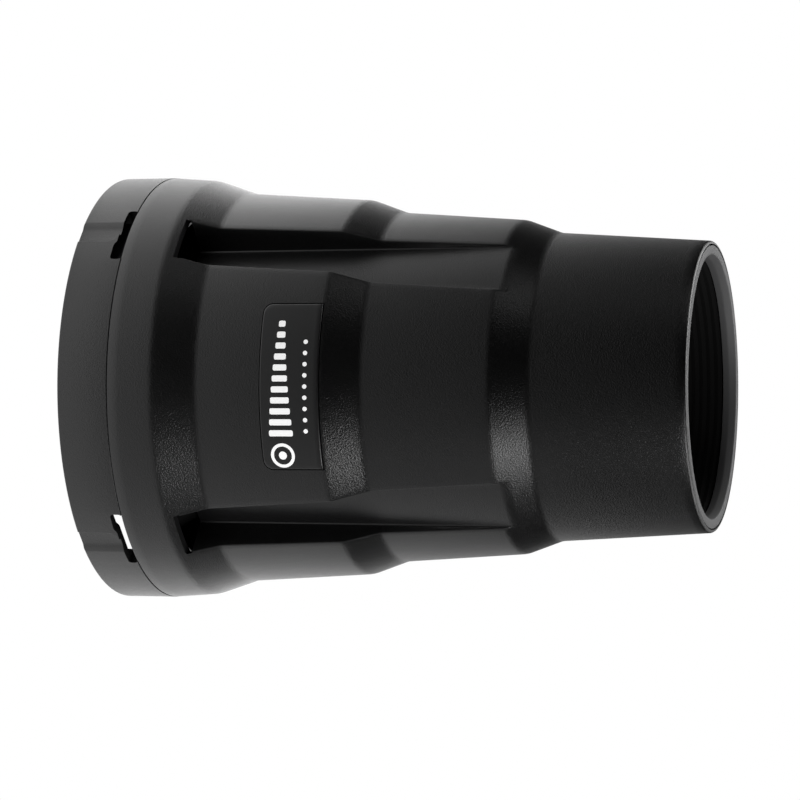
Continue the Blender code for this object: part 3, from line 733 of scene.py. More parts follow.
# %% Sizes of the collar
SOCKET_RADIUS = COLLAR_RADIUS - 4.5 * MM
SEAT_Z = 13.2 * MM
SEAT_RADIUS = SOCKET_RADIUS - 5.0 * MM
LEAD_IN = 2.5 * MM
RIM_ROUND = 0.5 * MM
JOINT_ROUND = 0.12 * MM
JOINT_GAP = 0.05 * MM
WINDOW_WIDTH = 17.8 * MM
WINDOW_SHALLOW = 2.1 * MM
WINDOW_DEEP = 2.7 * MM
WINDOW_CORNER = 0.9 * MM
GROOVE_WIDTH = 5.0 * MM
GROOVE_OFFSET = 0.6 * MM
GROOVE_DEPTH = 0.80 * MM
GROOVE_BEND = 3.0 * MM
JOINT_Z = BODY_REAR_Z - JOINT_GAP
CLAW_HALF = 7.0 * MM + GAP
CLAW_AXIS_Z = 18.534 * MM
RELIEF = 0.4 * MM
LUG_HALF = 4.0 * MM
LUG_HEIGHT = 1.1 * MM
LUG_LENGTH = 3.0 * MM
LUG_FRONT_Z = 7.4 * MM
LUG_RECESS = 1.8 * MM
LUG_ROUND = 0.5 * MM
POCKET_DEPTH = 3.2 * MM
CLAW_SLOT_RADIUS = 48.23 * MM
HOLE_RADIUS = 1.55 * MM
SINK_RADIUS = 2.5 * MM
SINK_DEPTH = 2.3 * MM
CLAW_STATIONS = (135, 315)
LUG_STATIONS = (45, 225)
REACH = 6.0 * MM
screw_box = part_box("collar_screw_1")
SCREW_CENTRE = -(screw_box[0][1] + screw_box[1][1]) / 2
print("socket %.1f mm across" % (2 * SOCKET_RADIUS / MM))

# %% Collar
def window_outline(side):
    """Stepped opening with rounded corners; side is +1 or -1 for the half that is deeper."""
    half = WINDOW_WIDTH / 2
    step = side * (GROOVE_WIDTH / 2 + GROOVE_OFFSET)
    front = JOINT_Z + GAP / 3
    deep = COLLAR_LENGTH - WINDOW_DEEP
    shallow = COLLAR_LENGTH - WINDOW_SHALLOW
    bend = WINDOW_CORNER
    return rounded_outline([
        (-side * half, front, bend), (side * half, front, bend), (side * half, deep, bend),
        (step + side * bend, deep, bend / 2), (step, shallow, bend / 2), (-side * half, shallow, bend)])


def groove_cutter(side, angle):
    """Groove from the rear rim: one wall slopes, the other is crisp and curls in at the window."""
    floor = COLLAR_RADIUS - GROOVE_DEPTH
    outside = COLLAR_RADIUS + REACH
    outline = rounded_outline([
        (-5.1 * MM, outside, 0.0), (-5.1 * MM, floor + 1.0 * MM, 0.0), (-2.1 * MM, floor, 0.6 * MM),
        (2.6 * MM, floor, 0.12 * MM), (2.66 * MM, floor + 0.44 * MM, 0.20 * MM),
        (3.5 * MM, floor + 1.02 * MM, 0.0), (3.5 * MM, outside, 0.0)])
    shallow = COLLAR_LENGTH - WINDOW_SHALLOW
    bend_from = shallow - GROOVE_BEND
    levels = [(-REACH, 0.0), (bend_from, 0.0)]
    for step in range(1, 9):
        turn = math.radians(82 * step / 8)
        levels.append((bend_from + GROOVE_BEND * math.sin(turn), GROOVE_BEND * (1 - math.cos(turn))))
    levels.append((COLLAR_LENGTH - WINDOW_SHALLOW / 2, levels[-1][1]))
    spin = Matrix.Rotation(math.radians(angle), 4, "Z")
    return stacked("groove", [[spin @ Vector((side * (x - (shift if x > 0 else 0.0)), -radius, height))
                               for x, radius in outline] for height, shift in levels], fine_plastic)


def rectangle(half, low, high):
    """Outline of a plain opening, centred on its station."""
    return [(-half, low), (half, low), (half, high), (-half, high)]


def make_collar():
    """Turned collar with its windows, grooves, pockets, lugs and screw holes; the cut walls of windows,
    pockets, slots and recesses take a dull black as painted shade.
    """
    collar = turned("mount_collar_skin", rounded_outline([
        (COLLAR_RADIUS, JOINT_Z, JOINT_ROUND), (COLLAR_RADIUS, 0.0, RIM_ROUND),
        (SOCKET_RADIUS + LEAD_IN, 0.0, RIM_ROUND / 2), (SOCKET_RADIUS, LEAD_IN, RIM_ROUND),
        (SOCKET_RADIUS, SEAT_Z, RIM_ROUND / 2), (SEAT_RADIUS, SEAT_Z, RIM_ROUND),
        (SEAT_RADIUS, SPIGOT_Z, RIM_ROUND), (SPIGOT_RADIUS, SPIGOT_Z, RIM_ROUND / 2),
        (SPIGOT_RADIUS, JOINT_Z, RIM_ROUND / 4)]), fine_plastic)
    outside = COLLAR_RADIUS + REACH
    for angle in DIAGONALS:
        side = 1 if angle in CLAW_STATIONS else -1
        # The cut walls of windows, pockets, slots and recesses take the cutter's dull black: painted shade
        # in the openings.
        carve(collar, prism("window", window_outline(side), SPIGOT_RADIUS - GAP, outside, angle, matt_black_and_painted_shade))
        behind = rectangle(WINDOW_WIDTH / 2 - GAP / 3, COLLAR_LENGTH - WINDOW_SHALLOW + GAP / 3,
                           JOINT_Z + GAP / 5)
        carve(collar, prism("behind", behind, SEAT_RADIUS + GAP, SPIGOT_RADIUS + GAP, angle, matt_black_and_painted_shade))
        carve(collar, groove_cutter(side, angle))
    for angle in CLAW_STATIONS:
        pocket = rectangle(WINDOW_WIDTH / 2 - GAP, -REACH, COLLAR_LENGTH - GAP)
        carve(collar, prism("pocket", pocket, SEAT_RADIUS, SOCKET_RADIUS + POCKET_DEPTH, angle, matt_black_and_painted_shade))
        slot = rectangle(CLAW_HALF, COLLAR_LENGTH - 2 * GAP, SPIGOT_Z + GAP)
        carve(collar, prism("slot", slot, CLAW_SLOT_RADIUS, outside, angle, matt_black_and_painted_shade))
    for angle in SCREW_STATIONS:
        turn = Matrix.Rotation(math.radians(angle), 3, "Z")
        start = turn @ Vector((0, -SCREW_CENTRE, SEAT_Z - REACH))
        carve(collar, drill("hole", HOLE_RADIUS, start, (0, 0, 1), 4 * REACH))
        sink = turn @ Vector((0, -SCREW_CENTRE, SEAT_Z - GAP))
        carve(collar, drill("sink", SINK_RADIUS, sink, (0, 0, 1), SINK_DEPTH))
    for angle in LUG_STATIONS:
        recess = rectangle(WINDOW_WIDTH / 2 - GAP, LUG_FRONT_Z - GAP / 2, COLLAR_LENGTH - GAP)
        carve(collar, prism("recess", recess, SEAT_RADIUS, SOCKET_RADIUS + LUG_RECESS, angle, matt_black_and_painted_shade))
        rear = LUG_FRONT_Z - LUG_LENGTH
        lug = rounded_outline([(-LUG_HALF, rear, LUG_ROUND), (LUG_HALF, rear, LUG_ROUND),
                               (LUG_HALF, LUG_FRONT_Z, 0.0), (-LUG_HALF, LUG_FRONT_Z, 0.0)])
        carve(collar, prism("lug", lug, SOCKET_RADIUS - LUG_HEIGHT, SOCKET_RADIUS + 2 * MM, angle), "UNION")
    clean_cuts(collar)
    return collar


collar = make_collar()
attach(collar, "snoot_body")
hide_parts("mount_collar")
print("collar faces:", len(collar.data.polygons))

# %% Trim ring and gasket
def make_front_ring():
    """Ring in the nozzle: a flange that lies in the rim and a sleeve that fits the bore."""
    low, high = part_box("front_ring")
    flange = high[0]
    sleeve = 34.1 * MM
    bore = 32.7 * MM
    cone = 0.7 * MM
    seat = high[2] - 1.2 * MM
    return turned("front_ring_skin", rounded_outline([
        (flange, high[2], 0.2 * MM), (flange, seat, 0.1 * MM), (sleeve, seat, 0.0),
        (sleeve, low[2], 0.2 * MM), (bore, low[2], 0.2 * MM), (bore, high[2] - 1.8 * MM, 0.3 * MM),
        (bore + cone, high[2], 0.3 * MM)]), trim_plastic)


def make_gasket():
    """Soft seat with two sealing beads on its rear face."""
    low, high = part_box("seat_gasket")
    outer = high[0]
    inner = outer - 3.4 * MM
    bead = 0.35 * MM
    middle = (outer + inner) / 2
    rear = low[2]
    return turned("seat_gasket_skin", rounded_outline([
        (outer, high[2], 0.2 * MM), (outer, rear + bead, 0.3 * MM), (outer - 2 * bead, rear, 0.3 * MM),
        (middle + bead, rear + bead, 0.2 * MM), (middle - bead, rear + bead, 0.2 * MM),
        (inner + 2 * bead, rear, 0.3 * MM), (inner, rear + bead, 0.3 * MM), (inner, high[2], 0.2 * MM)]),
        silicone)


front_ring = make_front_ring()
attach(front_ring, "snoot_body")
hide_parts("front_ring")
gasket = make_gasket()
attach(gasket, "snoot_body")
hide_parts("seat_gasket")
print("ring and gasket turned")

# %% [markdown]
# ## The badge
#
# A thin plate lies in a pocket of the first panel and follows its curve. Its surface is a grid whose
# rows are as wide as the outline, so the rounded corners need no cut. The marks are plain: a ring
# with a dot for the spot of light, bars that narrow like the beam, and a row of small dots.

# %% Badge plate
badge_low, badge_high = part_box("badge_plate")
BADGE_HALF = badge_high[0]
BADGE_REAR_Z, BADGE_FRONT_Z = badge_low[2], badge_high[2]
BADGE_CORNER = 2.2 * MM
BADGE_PROUD = 0.4 * MM
BADGE_SUNK = 0.8 * MM
BADGE_EDGE = 0.3 * MM
POCKET_GAP = 0.24 * MM


def on_panel(across, height, lift):
    """Point of the badge: across is measured along X, and lift from the panel's surface."""
    radius = body_radius(min(height, STATIONS[3][0] - CORNER_BLEND)) + lift
    return (across, -math.sqrt(radius ** 2 - across ** 2), height)


def badge_grid(inset, lift, columns=48, steps=6):
    """Rows of points of the plate, drawn in from its outline by an inset."""
    half = BADGE_HALF - inset
    rear = BADGE_REAR_Z + inset
    front = BADGE_FRONT_Z - inset
    corner = BADGE_CORNER - inset
    rows_here = []
    for step in range(steps + 1):
        turn = math.radians(90 * step / steps)
        rows_here.append((rear + corner * (1 - math.cos(turn)), half - corner * (1 - math.sin(turn))))
    straight = 10
    for step in range(1, straight + 1):
        rows_here.append((rear + corner + (front - rear - corner) * step / straight, half))
    return [[on_panel(-wide + 2 * wide * column / columns, height, lift) for column in range(columns + 1)]
            for height, wide in rows_here]


def border(grid):
    """Points round the edge of a grid of points, once."""
    return grid[0] + [row[-1] for row in grid[1:]] + grid[-1][-2::-1] + [row[0] for row in grid[-2:0:-1]]


def badge_solid(name, levels, surface, sharp=SHARP_ANGLE):
    """A solid in the badge's shape, from (inset, lift) levels, with a grid over both ends."""
    loops = [border(badge_grid(inset, lift)) for inset, lift in levels]
    verts = [point for loop in loops for point in loop]
    count = len(loops[0])
    faces = []
    for level in range(len(loops) - 1):
        faces += band(level * count, (level + 1) * count, count)
    for inset, lift in (levels[0], levels[-1]):
        grid = badge_grid(inset, lift)
        start, width = len(verts), len(grid[0])
        verts += [point for row in grid for point in row]
        for r in range(len(grid) - 1):
            low, high = start + r * width, start + (r + 1) * width
            faces += [(low + c, low + c + 1, high + c + 1, high + c) for c in range(width - 1)]
    return built(name, verts, faces, (surface,), sharp)


def make_badge():
    """Plate with a rounded top edge."""
    levels = [(0.0, -BADGE_SUNK)]
    for step in range(4):
        turn = math.radians(90 * step / 3)
        levels.append((BADGE_EDGE * (1 - math.cos(turn)), BADGE_PROUD - BADGE_EDGE * (1 - math.sin(turn))))
    return badge_solid("badge_plate_skin", levels, badge_plastic, sharp=50)


def make_pocket():
    """Cutter for the badge's pocket: the plate's outline and a fine gap; its dull black paints shade on the
    pocket's walls.
    """
    levels = [(-POCKET_GAP, lift) for lift in (-BADGE_SUNK - POCKET_GAP, REACH)]
    return badge_solid("badge_pocket", levels, matt_black_and_painted_shade)


carve(shell, make_pocket())
for angle in CLAW_STATIONS:
    relief = rectangle(CLAW_HALF, BODY_REAR_Z - 3 * GAP, CLAW_AXIS_Z)
    carve(shell, prism("relief", relief, SEAT_RADIUS, SPIGOT_RADIUS + RELIEF, angle))
clean_cuts(shell)
badge = make_badge()
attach(badge, "snoot_body")
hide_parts("badge_plate")
print("badge %.1f x %.1f mm" % (2 * BADGE_HALF / MM, (BADGE_FRONT_Z - BADGE_REAR_Z) / MM))

# %% Printed marks
MARK_Z = 56.3 * MM
MARK_HEIGHT = 6.0 * MM
ICON_X, ICON_BAND, ICON_DOT = 17.0 * MM, 0.75 * MM, 1.0 * MM
BARS, BAR_X, BAR_PITCH, BAR_WIDTH, BAR_LOSS = 11, 11.5 * MM, 2.7 * MM, 1.5 * MM, 0.72
DOTS, DOT_X, DOT_PITCH, DOT_RADIUS, DOT_Z = 9, 11.0 * MM, 2.75 * MM, 0.55 * MM, 62.6 * MM
PRINT_LIFT = 0.02 * MM
PRINT_DEPTH = 0.12 * MM


def stamp(outline, hole=None):
    """Print one closed shape, or the band between a shape and a hole with as many points."""
    top, bottom = BADGE_PROUD + PRINT_LIFT, BADGE_PROUD - PRINT_DEPTH
    count = len(outline)
    loops = [[on_panel(x, z, lift) for x, z in outline] for lift in (bottom, top)]
    if hole is None:
        middle = sum(x for x, _ in outline) / count, sum(z for _, z in outline) / count
        verts = loops[0] + loops[1] + [on_panel(*middle, bottom), on_panel(*middle, top)]
        faces = band(0, count, count)
        faces += [(i, (i + 1) % count, 2 * count) for i in range(count)]
        faces += [(count + i, count + (i + 1) % count, 2 * count + 1) for i in range(count)]
        return verts, faces
    loops += [[on_panel(x, z, lift) for x, z in hole] for lift in (top, bottom)]
    verts = [point for loop in loops for point in loop]
    faces = []
    for level in range(4):
        faces += band(level * count, (level + 1) % 4 * count, count)
    return verts, faces


def circle(x, z, radius, points=48):
    """Outline of a disc."""
    return [(x + radius * math.cos(math.tau * i / points), z + radius * math.sin(math.tau * i / points))
            for i in range(points)]


def pill(x, z, width, height, steps=6):
    """Outline of a bar with round corners."""
    bend = min(width, height) * 0.3
    corners = [(x - width / 2, z - height / 2, bend), (x + width / 2, z - height / 2, bend),
               (x + width / 2, z + height / 2, bend), (x - width / 2, z + height / 2, bend)]
    return rounded_outline(corners, steps)


def make_marks():
    """Ring and dot, narrowing bars, and a row of dots under them."""
    icon = MARK_HEIGHT / 2
    shapes = [stamp(circle(ICON_X, MARK_Z, icon), circle(ICON_X, MARK_Z, icon - ICON_BAND)),
              stamp(circle(ICON_X, MARK_Z, ICON_DOT))]
    for index in range(BARS):
        height = MARK_HEIGHT * (1.0 - BAR_LOSS * index / (BARS - 1))
        shapes.append(stamp(pill(BAR_X - index * BAR_PITCH, MARK_Z, BAR_WIDTH, height)))
    for index in range(DOTS):
        shapes.append(stamp(circle(DOT_X - index * DOT_PITCH, DOT_Z, DOT_RADIUS, 24)))
    verts, faces = [], []
    for points, sides in shapes:
        start = len(verts)
        verts += points
        faces += [tuple(start + i for i in side) for side in sides]
    return built("badge_marks", verts, faces, (print_white_painted_glow,), sharp=30)


marks = make_marks()
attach(marks, "snoot_body")
print("marks printed")

# %% [markdown]
# ## The light tube
#
# A black tube keeps stray light away from the vents. Its inside is ribbed, so that light which
# grazes the wall is caught in the ribs. Ribs repeat by a rule, so Geometry Nodes make the tube: a
# grid is wrapped into a closed double wall, and every second row of the inside is drawn inwards.

# %% Node tree tools
class Tree:
    """A Geometry Nodes tree with named inputs, whose kinds follow from their values."""

    def __init__(self, name, inputs):
        self.group = bpy.data.node_groups.new(name, "GeometryNodeTree")
        self.group.interface.new_socket(name="Geometry", in_out="INPUT", socket_type="NodeSocketGeometry")
        kinds = {float: "NodeSocketFloat", int: "NodeSocketInt", type(None): "NodeSocketMaterial"}
        for label, value in inputs:
            socket = self.group.interface.new_socket(name=label, in_out="INPUT",
                                                     socket_type=kinds[type(value)])
            if value is not None:
                socket.default_value = value
        self.group.interface.new_socket(name="Geometry", in_out="OUTPUT", socket_type="NodeSocketGeometry")
        self.start = self.group.nodes.new("NodeGroupInput")
        self.end = self.group.nodes.new("NodeGroupOutput")

    def given(self, label):
        """Output socket of a named input."""
        return self.start.outputs[label]

    def feed(self, socket, value):
        """Link a socket, or set its value."""
        if isinstance(value, bpy.types.NodeSocket):
            self.group.links.new(value, socket)
        else:
            socket.default_value = value

    def add(self, kind, settings=(), **inputs):
        """Add a node; settings are its properties, and inputs its sockets by name or number."""
        node = self.group.nodes.new(kind)
        for key, value in dict(settings).items():
            setattr(node, key, value)
        for key, value in inputs.items():
            name = int(key[1:]) if key[0] == "n" and key[1:].isdigit() else key.replace("_", " ")
            self.feed(node.inputs[name], value)
        return node

    def maths(self, operation, *values):
        """Result of a Math node."""
        node = self.group.nodes.new("ShaderNodeMath")
        node.operation = operation
        for socket, value in zip(node.inputs, values):
            self.feed(socket, value)
        return node.outputs[0]

    def close(self, geometry, material):
        """Realize the instances, set the material and end the tree."""
        solid = self.add("GeometryNodeRealizeInstances", Geometry=geometry)
        painted = self.add("GeometryNodeSetMaterial", Geometry=solid.outputs[0], Material=material)
        self.feed(self.end.inputs[0], painted.outputs[0])
        return self.group


def grown(name, group, values, points=((0.0, 0.0, 0.0),), turns=(0.0,), tilts=(0.0,)):
    """Run a tree on a few points, each with a turn and a tilt, and return a plain mesh object."""
    seed = bpy.data.meshes.new(name + "_seed")
    seed.from_pydata(list(points), [], [])
    for label, angles in (("turn", turns), ("tilt", tilts)):
        seed.attributes.new(label, "FLOAT", "POINT").data.foreach_set("value", angles)
    item = bpy.data.objects.new(name, seed)
    bpy.context.scene.collection.objects.link(item)
    growth = item.modifiers.new("growth", "NODES")
    growth.node_group = group
    for socket in group.interface.items_tree:
        if socket.in_out == "INPUT" and socket.name in values:
            growth[socket.identifier] = values[socket.name]
    bpy.context.view_layer.update()
    graph = bpy.context.evaluated_depsgraph_get()
    result = bpy.data.meshes.new_from_object(item.evaluated_get(graph))
    item.modifiers.remove(growth)
    item.data = result
    result.materials.clear()
    result.materials.append(values["Finish"])
    result.polygons.foreach_set("material_index", [0] * len(result.polygons))
    bpy.data.meshes.remove(seed)
    return item


print("node tree tools ready")

# %% Tree of the ribbed tube
def make_tube_tree():
    """Double wall wrapped from a grid: columns run round the axis, rows out along it and back."""
    tree = Tree("ribbed_tube", [
        ("Rear Radius", 0.045), ("Neck Radius", 0.040),
        ("Mouth Radius", 0.034), ("Rear", 0.0),
        ("Neck", 0.01), ("Front", 0.1),
        ("Wall", 0.001), ("Rib Depth", 0.0003),
        ("Ribs", 60), ("Columns", 160),
        ("Finish", None)])
    maths, given = tree.maths, tree.given
    wall_rows = maths("MULTIPLY_ADD", given("Ribs"), 2.0, 1.0)
    all_rows = maths("MULTIPLY", wall_rows, 2.0)
    grid = tree.add("GeometryNodeMeshGrid", Size_X=1.0, Size_Y=1.0,
                    Vertices_X=maths("ADD", given("Columns"), 1.0),
                    Vertices_Y=maths("ADD", all_rows, 1.0))
    place = tree.add("ShaderNodeSeparateXYZ", n0=tree.add("GeometryNodeInputPosition").outputs[0])
    turn = maths("MULTIPLY", place.outputs[0], math.tau)
    count = maths("ROUND", maths("MULTIPLY", maths("ADD", place.outputs[1], 0.5), all_rows))
    row = maths("MODULO", count, all_rows)
    inside = maths("GREATER_THAN", row, maths("SUBTRACT", wall_rows, 0.5))
    back = maths("SUBTRACT", maths("SUBTRACT", all_rows, 1.0), maths("MULTIPLY", row, 2.0))
    along = maths("MULTIPLY_ADD", inside, back, row)
    share = maths("DIVIDE", along, maths("SUBTRACT", wall_rows, 1.0))
    span = maths("SUBTRACT", given("Front"), given("Rear"))
    height = maths("MULTIPLY_ADD", share, span, given("Rear"))
    flare = tree.add("ShaderNodeMapRange", Value=height, From_Min=given("Rear"),
                     From_Max=given("Neck"), To_Min=given("Rear Radius"),
                     To_Max=given("Neck Radius"))
    taper = tree.add("ShaderNodeMapRange", Value=height, From_Min=given("Neck"),
                     From_Max=given("Front"), To_Min=0.0,
                     To_Max=maths("SUBTRACT", given("Mouth Radius"), given("Neck Radius")))
    rib = maths("MULTIPLY", maths("MODULO", along, 2.0), given("Rib Depth"))
    drawn_in = maths("MULTIPLY", inside, maths("ADD", given("Wall"), rib))
    outer = maths("ADD", flare.outputs[0], taper.outputs[0])
    radius = maths("SUBTRACT", outer, drawn_in)
    point = tree.add("ShaderNodeCombineXYZ", n0=maths("MULTIPLY", radius, maths("COSINE", turn)),
                     n1=maths("MULTIPLY", radius, maths("SINE", turn)), n2=height)
    wrapped = tree.add("GeometryNodeSetPosition", Geometry=grid.outputs[0], Position=point.outputs[0])
    merged = tree.add("GeometryNodeMergeByDistance", Geometry=wrapped.outputs[0], Distance=0.001 * MM)
    return tree.close(merged.outputs[0], given("Finish"))


TUBE_RADII = {"Rear Radius": 45.0 * MM, "Neck Radius": 39.9 * MM, "Mouth Radius": 34.1 * MM}
tube_low, tube_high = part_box("light_tube")
tube = grown("light_tube_skin", make_tube_tree(), {
    **TUBE_RADII, "Rear": tube_low[2], "Neck": TROUGH_Z, "Front": tube_high[2], "Wall": 1.0 * MM,
    "Rib Depth": 0.35 * MM, "Ribs": 64, "Columns": 160, "Finish": matt_black_and_painted_shade})
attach(tube, "snoot_body")
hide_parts("light_tube")
print("tube faces:", len(tube.data.polygons))

# %% [markdown]
# ## Screws and inserts
#
# Four long screws hold the collar, the tube's ears and the body together, and four short ones hold
# the spring claws. They differ only in length, so one tree makes both: a rounded head with a hexagon
# socket, and a shank whose rows follow a helix, which gives a real thread. The brass inserts in the
# body have a knurled outside from the same idea: every second column stands out.

# %% Trees for screws and inserts
def lathe_grid(tree, columns, rows):
    """A grid to wrap: returns the mesh, the turn in radians, the column and the row number."""
    maths = tree.maths
    grid = tree.add("GeometryNodeMeshGrid", Size_X=1.0, Size_Y=1.0, Vertices_X=columns + 1,
                    Vertices_Y=maths("ADD", rows, 1.0))
    place = tree.add("ShaderNodeSeparateXYZ", n0=tree.add("GeometryNodeInputPosition").outputs[0])
    part = maths("ADD", place.outputs[0], 0.5)
    column = maths("ROUND", maths("MULTIPLY", part, float(columns)))
    row = maths("ROUND", maths("MULTIPLY", maths("ADD", place.outputs[1], 0.5), rows))
    return grid.outputs[0], maths("MULTIPLY", part, math.tau), column, row


def wrap(tree, grid, turn, radius, height):
    """Place each point of a grid by its turn, radius and height, and close the seam and poles."""
    maths = tree.maths
    point = tree.add("ShaderNodeCombineXYZ", n0=maths("MULTIPLY", radius, maths("COSINE", turn)),
                     n1=maths("MULTIPLY", radius, maths("SINE", turn)), n2=height)
    wrapped = tree.add("GeometryNodeSetPosition", Geometry=grid, Position=point.outputs[0])
    return tree.add("GeometryNodeMergeByDistance", Geometry=wrapped.outputs[0],
                    Distance=CUT_MERGE).outputs[0]


def place_on_points(tree, shape):
    """Instances on the seed's points: each has a tilt about X and a turn about Z."""
    tilt = tree.add("GeometryNodeInputNamedAttribute", Name="tilt")
    spin = tree.add("GeometryNodeInputNamedAttribute", Name="turn")
    angles = tree.add("ShaderNodeCombineXYZ", n0=tilt.outputs[0], n2=spin.outputs[0])
    euler = tree.add("FunctionNodeEulerToRotation", n0=angles.outputs[0])
    return tree.add("GeometryNodeInstanceOnPoints", Points=tree.given("Geometry"), Instance=shape,
                    Rotation=euler.outputs[0]).outputs[0]


def make_screw_tree():
    """Head with a hexagon socket, then a shank with a helical thread, along +Z."""
    tree = Tree("socket_screw", [
        ("Head Radius", 0.0022), ("Head Height", 0.0014),
        ("Socket Radius", 0.001), ("Socket Depth", 0.0009),
        ("Shank Radius", 0.00125), ("Length", 0.014),
        ("Pitch", 0.0005), ("Thread Depth", 0.0002),
        ("Finish", None)])
    maths, given = tree.maths, tree.given
    head_rows = 7.0
    head, turn, _, row = lathe_grid(tree, 32, head_rows)
    radius = tree.add("ShaderNodeFloatCurve", Value=maths("DIVIDE", row, head_rows))
    height = tree.add("ShaderNodeFloatCurve", Value=maths("DIVIDE", row, head_rows))
    shape_curve(radius, (0.0, 0.86, 0.95, 1.0, 1.0, 0.98, 0.90, 0.0))
    shape_curve(height, (0.0, 0.0, 0.04, 0.14, 0.92, 0.98, 1.0, 1.0))
    rise = maths("MULTIPLY", maths("SUBTRACT", height.outputs[0], 1.0), given("Head Height"))
    head = wrap(tree, head, turn, maths("MULTIPLY", radius.outputs[0], given("Head Radius")), rise)
    key = tree.add("GeometryNodeMeshCylinder", Vertices=6, Radius=given("Socket Radius"),
                   Depth=maths("MULTIPLY", given("Socket Depth"), 2.0))
    down = tree.add("ShaderNodeCombineXYZ", n2=maths("MULTIPLY", given("Head Height"), -1.0))
    key = tree.add("GeometryNodeTransform", Geometry=key.outputs[0], Translation=down.outputs[0])
    bored = tree.add("GeometryNodeMeshBoolean", {"operation": "DIFFERENCE", "solver": "EXACT"},
                     n0=head, n1=key.outputs[0])
    rows = maths("CEIL", maths("MULTIPLY", maths("DIVIDE", given("Length"), given("Pitch")), 4.0))
    shank, turn, _, row = lathe_grid(tree, 24, rows)
    share = maths("DIVIDE", row, rows)
    along = maths("MULTIPLY", share, given("Length"))
    phase = maths("SUBTRACT", maths("DIVIDE", along, given("Pitch")), maths("DIVIDE", turn, math.tau))
    off_crest = maths("SUBTRACT", maths("FLOORED_MODULO", phase, 1.0), 0.5)
    groove = maths("MULTIPLY", maths("ABSOLUTE", off_crest), 2.0)
    cut_back = maths("MULTIPLY", groove, given("Thread Depth"))
    body = maths("SUBTRACT", given("Shank Radius"), cut_back)
    before_last = maths("LESS_THAN", row, maths("SUBTRACT", rows, 0.5))
    inner = maths("MULTIPLY", maths("GREATER_THAN", row, 0.5), before_last)
    shank = wrap(tree, shank, turn, maths("MULTIPLY", body, inner), along)
    screw = tree.add("GeometryNodeJoinGeometry")
    tree.group.links.new(shank, screw.inputs[0])
    tree.group.links.new(bored.outputs[0], screw.inputs[0])
    return tree.close(place_on_points(tree, screw.outputs[0]), given("Finish"))


def shape_curve(node, values):
    """Set a Float Curve to straight runs through evenly spaced values."""
    points = node.mapping.curves[0].points
    last = len(values) - 1
    for index, value in enumerate(values):
        x = index / last
        if index == 0:
            point = points[0]
        elif index == last:
            point = points[-1]
        else:
            point = points.new(x, value)
        point.location = (x, value)
        point.handle_type = "VECTOR"
    node.mapping.update()


def make_insert_tree():
    """Knurled sleeve: a wrapped grid out along the wall and back through the bore."""
    tree = Tree("knurled_insert", [
        ("Outer Radius", 0.00215), ("Bore Radius", 0.00155),
        ("Length", 0.006), ("Knurl Depth", 0.0002),
        ("Finish", None)])
    maths, given = tree.maths, tree.given
    grid, turn, column, row = lathe_grid(tree, 48, 8.0)
    outside = maths("LESS_THAN", row, 5.5)
    real_row = maths("MODULO", row, 8.0)
    height = tree.add("ShaderNodeFloatCurve", Value=maths("DIVIDE", real_row, 8.0))
    shape_curve(height, (0.0, 0.1, 0.42, 0.5, 0.9, 1.0, 1.0, 0.0, 0.0))
    knurled = maths("MULTIPLY", maths("COMPARE", real_row, 3.0, 1.5), maths("MODULO", column, 2.0))
    drop = maths("MULTIPLY", knurled, given("Knurl Depth"))
    outer = maths("SUBTRACT", given("Outer Radius"), drop)
    within = maths("MULTIPLY", maths("LESS_THAN", real_row, 5.5), outside)
    radius = maths("ADD", maths("MULTIPLY", within, outer),
                        maths("MULTIPLY", maths("SUBTRACT", 1.0, within), given("Bore Radius")))
    closing = maths("GREATER_THAN", row, 7.5)
    radius = maths("ADD", maths("MULTIPLY", radius, maths("SUBTRACT", 1.0, closing)),
                        maths("MULTIPLY", closing, given("Outer Radius")))
    sleeve = wrap(tree, grid, turn, radius, maths("MULTIPLY", height.outputs[0], given("Length")))
    return tree.close(place_on_points(tree, sleeve), given("Finish"))


screw_tree = make_screw_tree()
insert_tree = make_insert_tree()
print("trees for fasteners ready")

# %% Place the fasteners
HEAD_HEIGHT = 1.4 * MM
CLAW_SCREW_REACH = 4.0 * MM
CLAW_HEAD_TOP = 51.93 * MM


def seats(names, axial):
    """Where each screw's head meets its shank, its turn and its tilt, from the box of its node."""
    places, turns, tilts = [], [], []
    for name, station in names:
        low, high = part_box(name)
        middle = (low + high) / 2
        if axial:
            places.append((middle.x, middle.y, low.z + HEAD_HEIGHT))
            turns.append(0.0)
            tilts.append(0.0)
            continue
        angle = math.radians(station)
        outward = Vector((math.sin(angle), -math.cos(angle)))
        spread = Vector((math.cos(angle), math.sin(angle)))
        side = CLAW_SCREW_REACH * (1 if spread.dot(middle.xy) > 0 else -1)
        seat = outward * (CLAW_HEAD_TOP - HEAD_HEIGHT) + spread * side
        places.append((seat.x, seat.y, middle.z))
        turns.append(angle)
        tilts.append(math.radians(-90))
    return places, turns, tilts


screw_sizes = {"Head Radius": 2.2 * MM, "Head Height": HEAD_HEIGHT, "Socket Radius": 1.0 * MM,
               "Socket Depth": 0.9 * MM, "Shank Radius": 1.25 * MM, "Pitch": 0.5 * MM,
               "Thread Depth": 0.2 * MM, "Finish": zinc}
collar_names = [("collar_screw_%d" % number, 0) for number in range(1, 5)]
collar_screws = grown("collar_screws", screw_tree, dict(screw_sizes, Length=14.0 * MM),
                      *seats(collar_names, True))
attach(collar_screws, "snoot_body")
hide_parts(*[name for name, _ in collar_names])

claw_names = [("claw_screw_1a", 135), ("claw_screw_1b", 135), ("claw_screw_2a", 315), ("claw_screw_2b", 315)]
claw_screws = grown("claw_screws", screw_tree, dict(screw_sizes, Length=3.6 * MM),
                    *seats(claw_names, False))
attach(claw_screws, "snoot_body")
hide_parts(*[name for name, _ in claw_names])

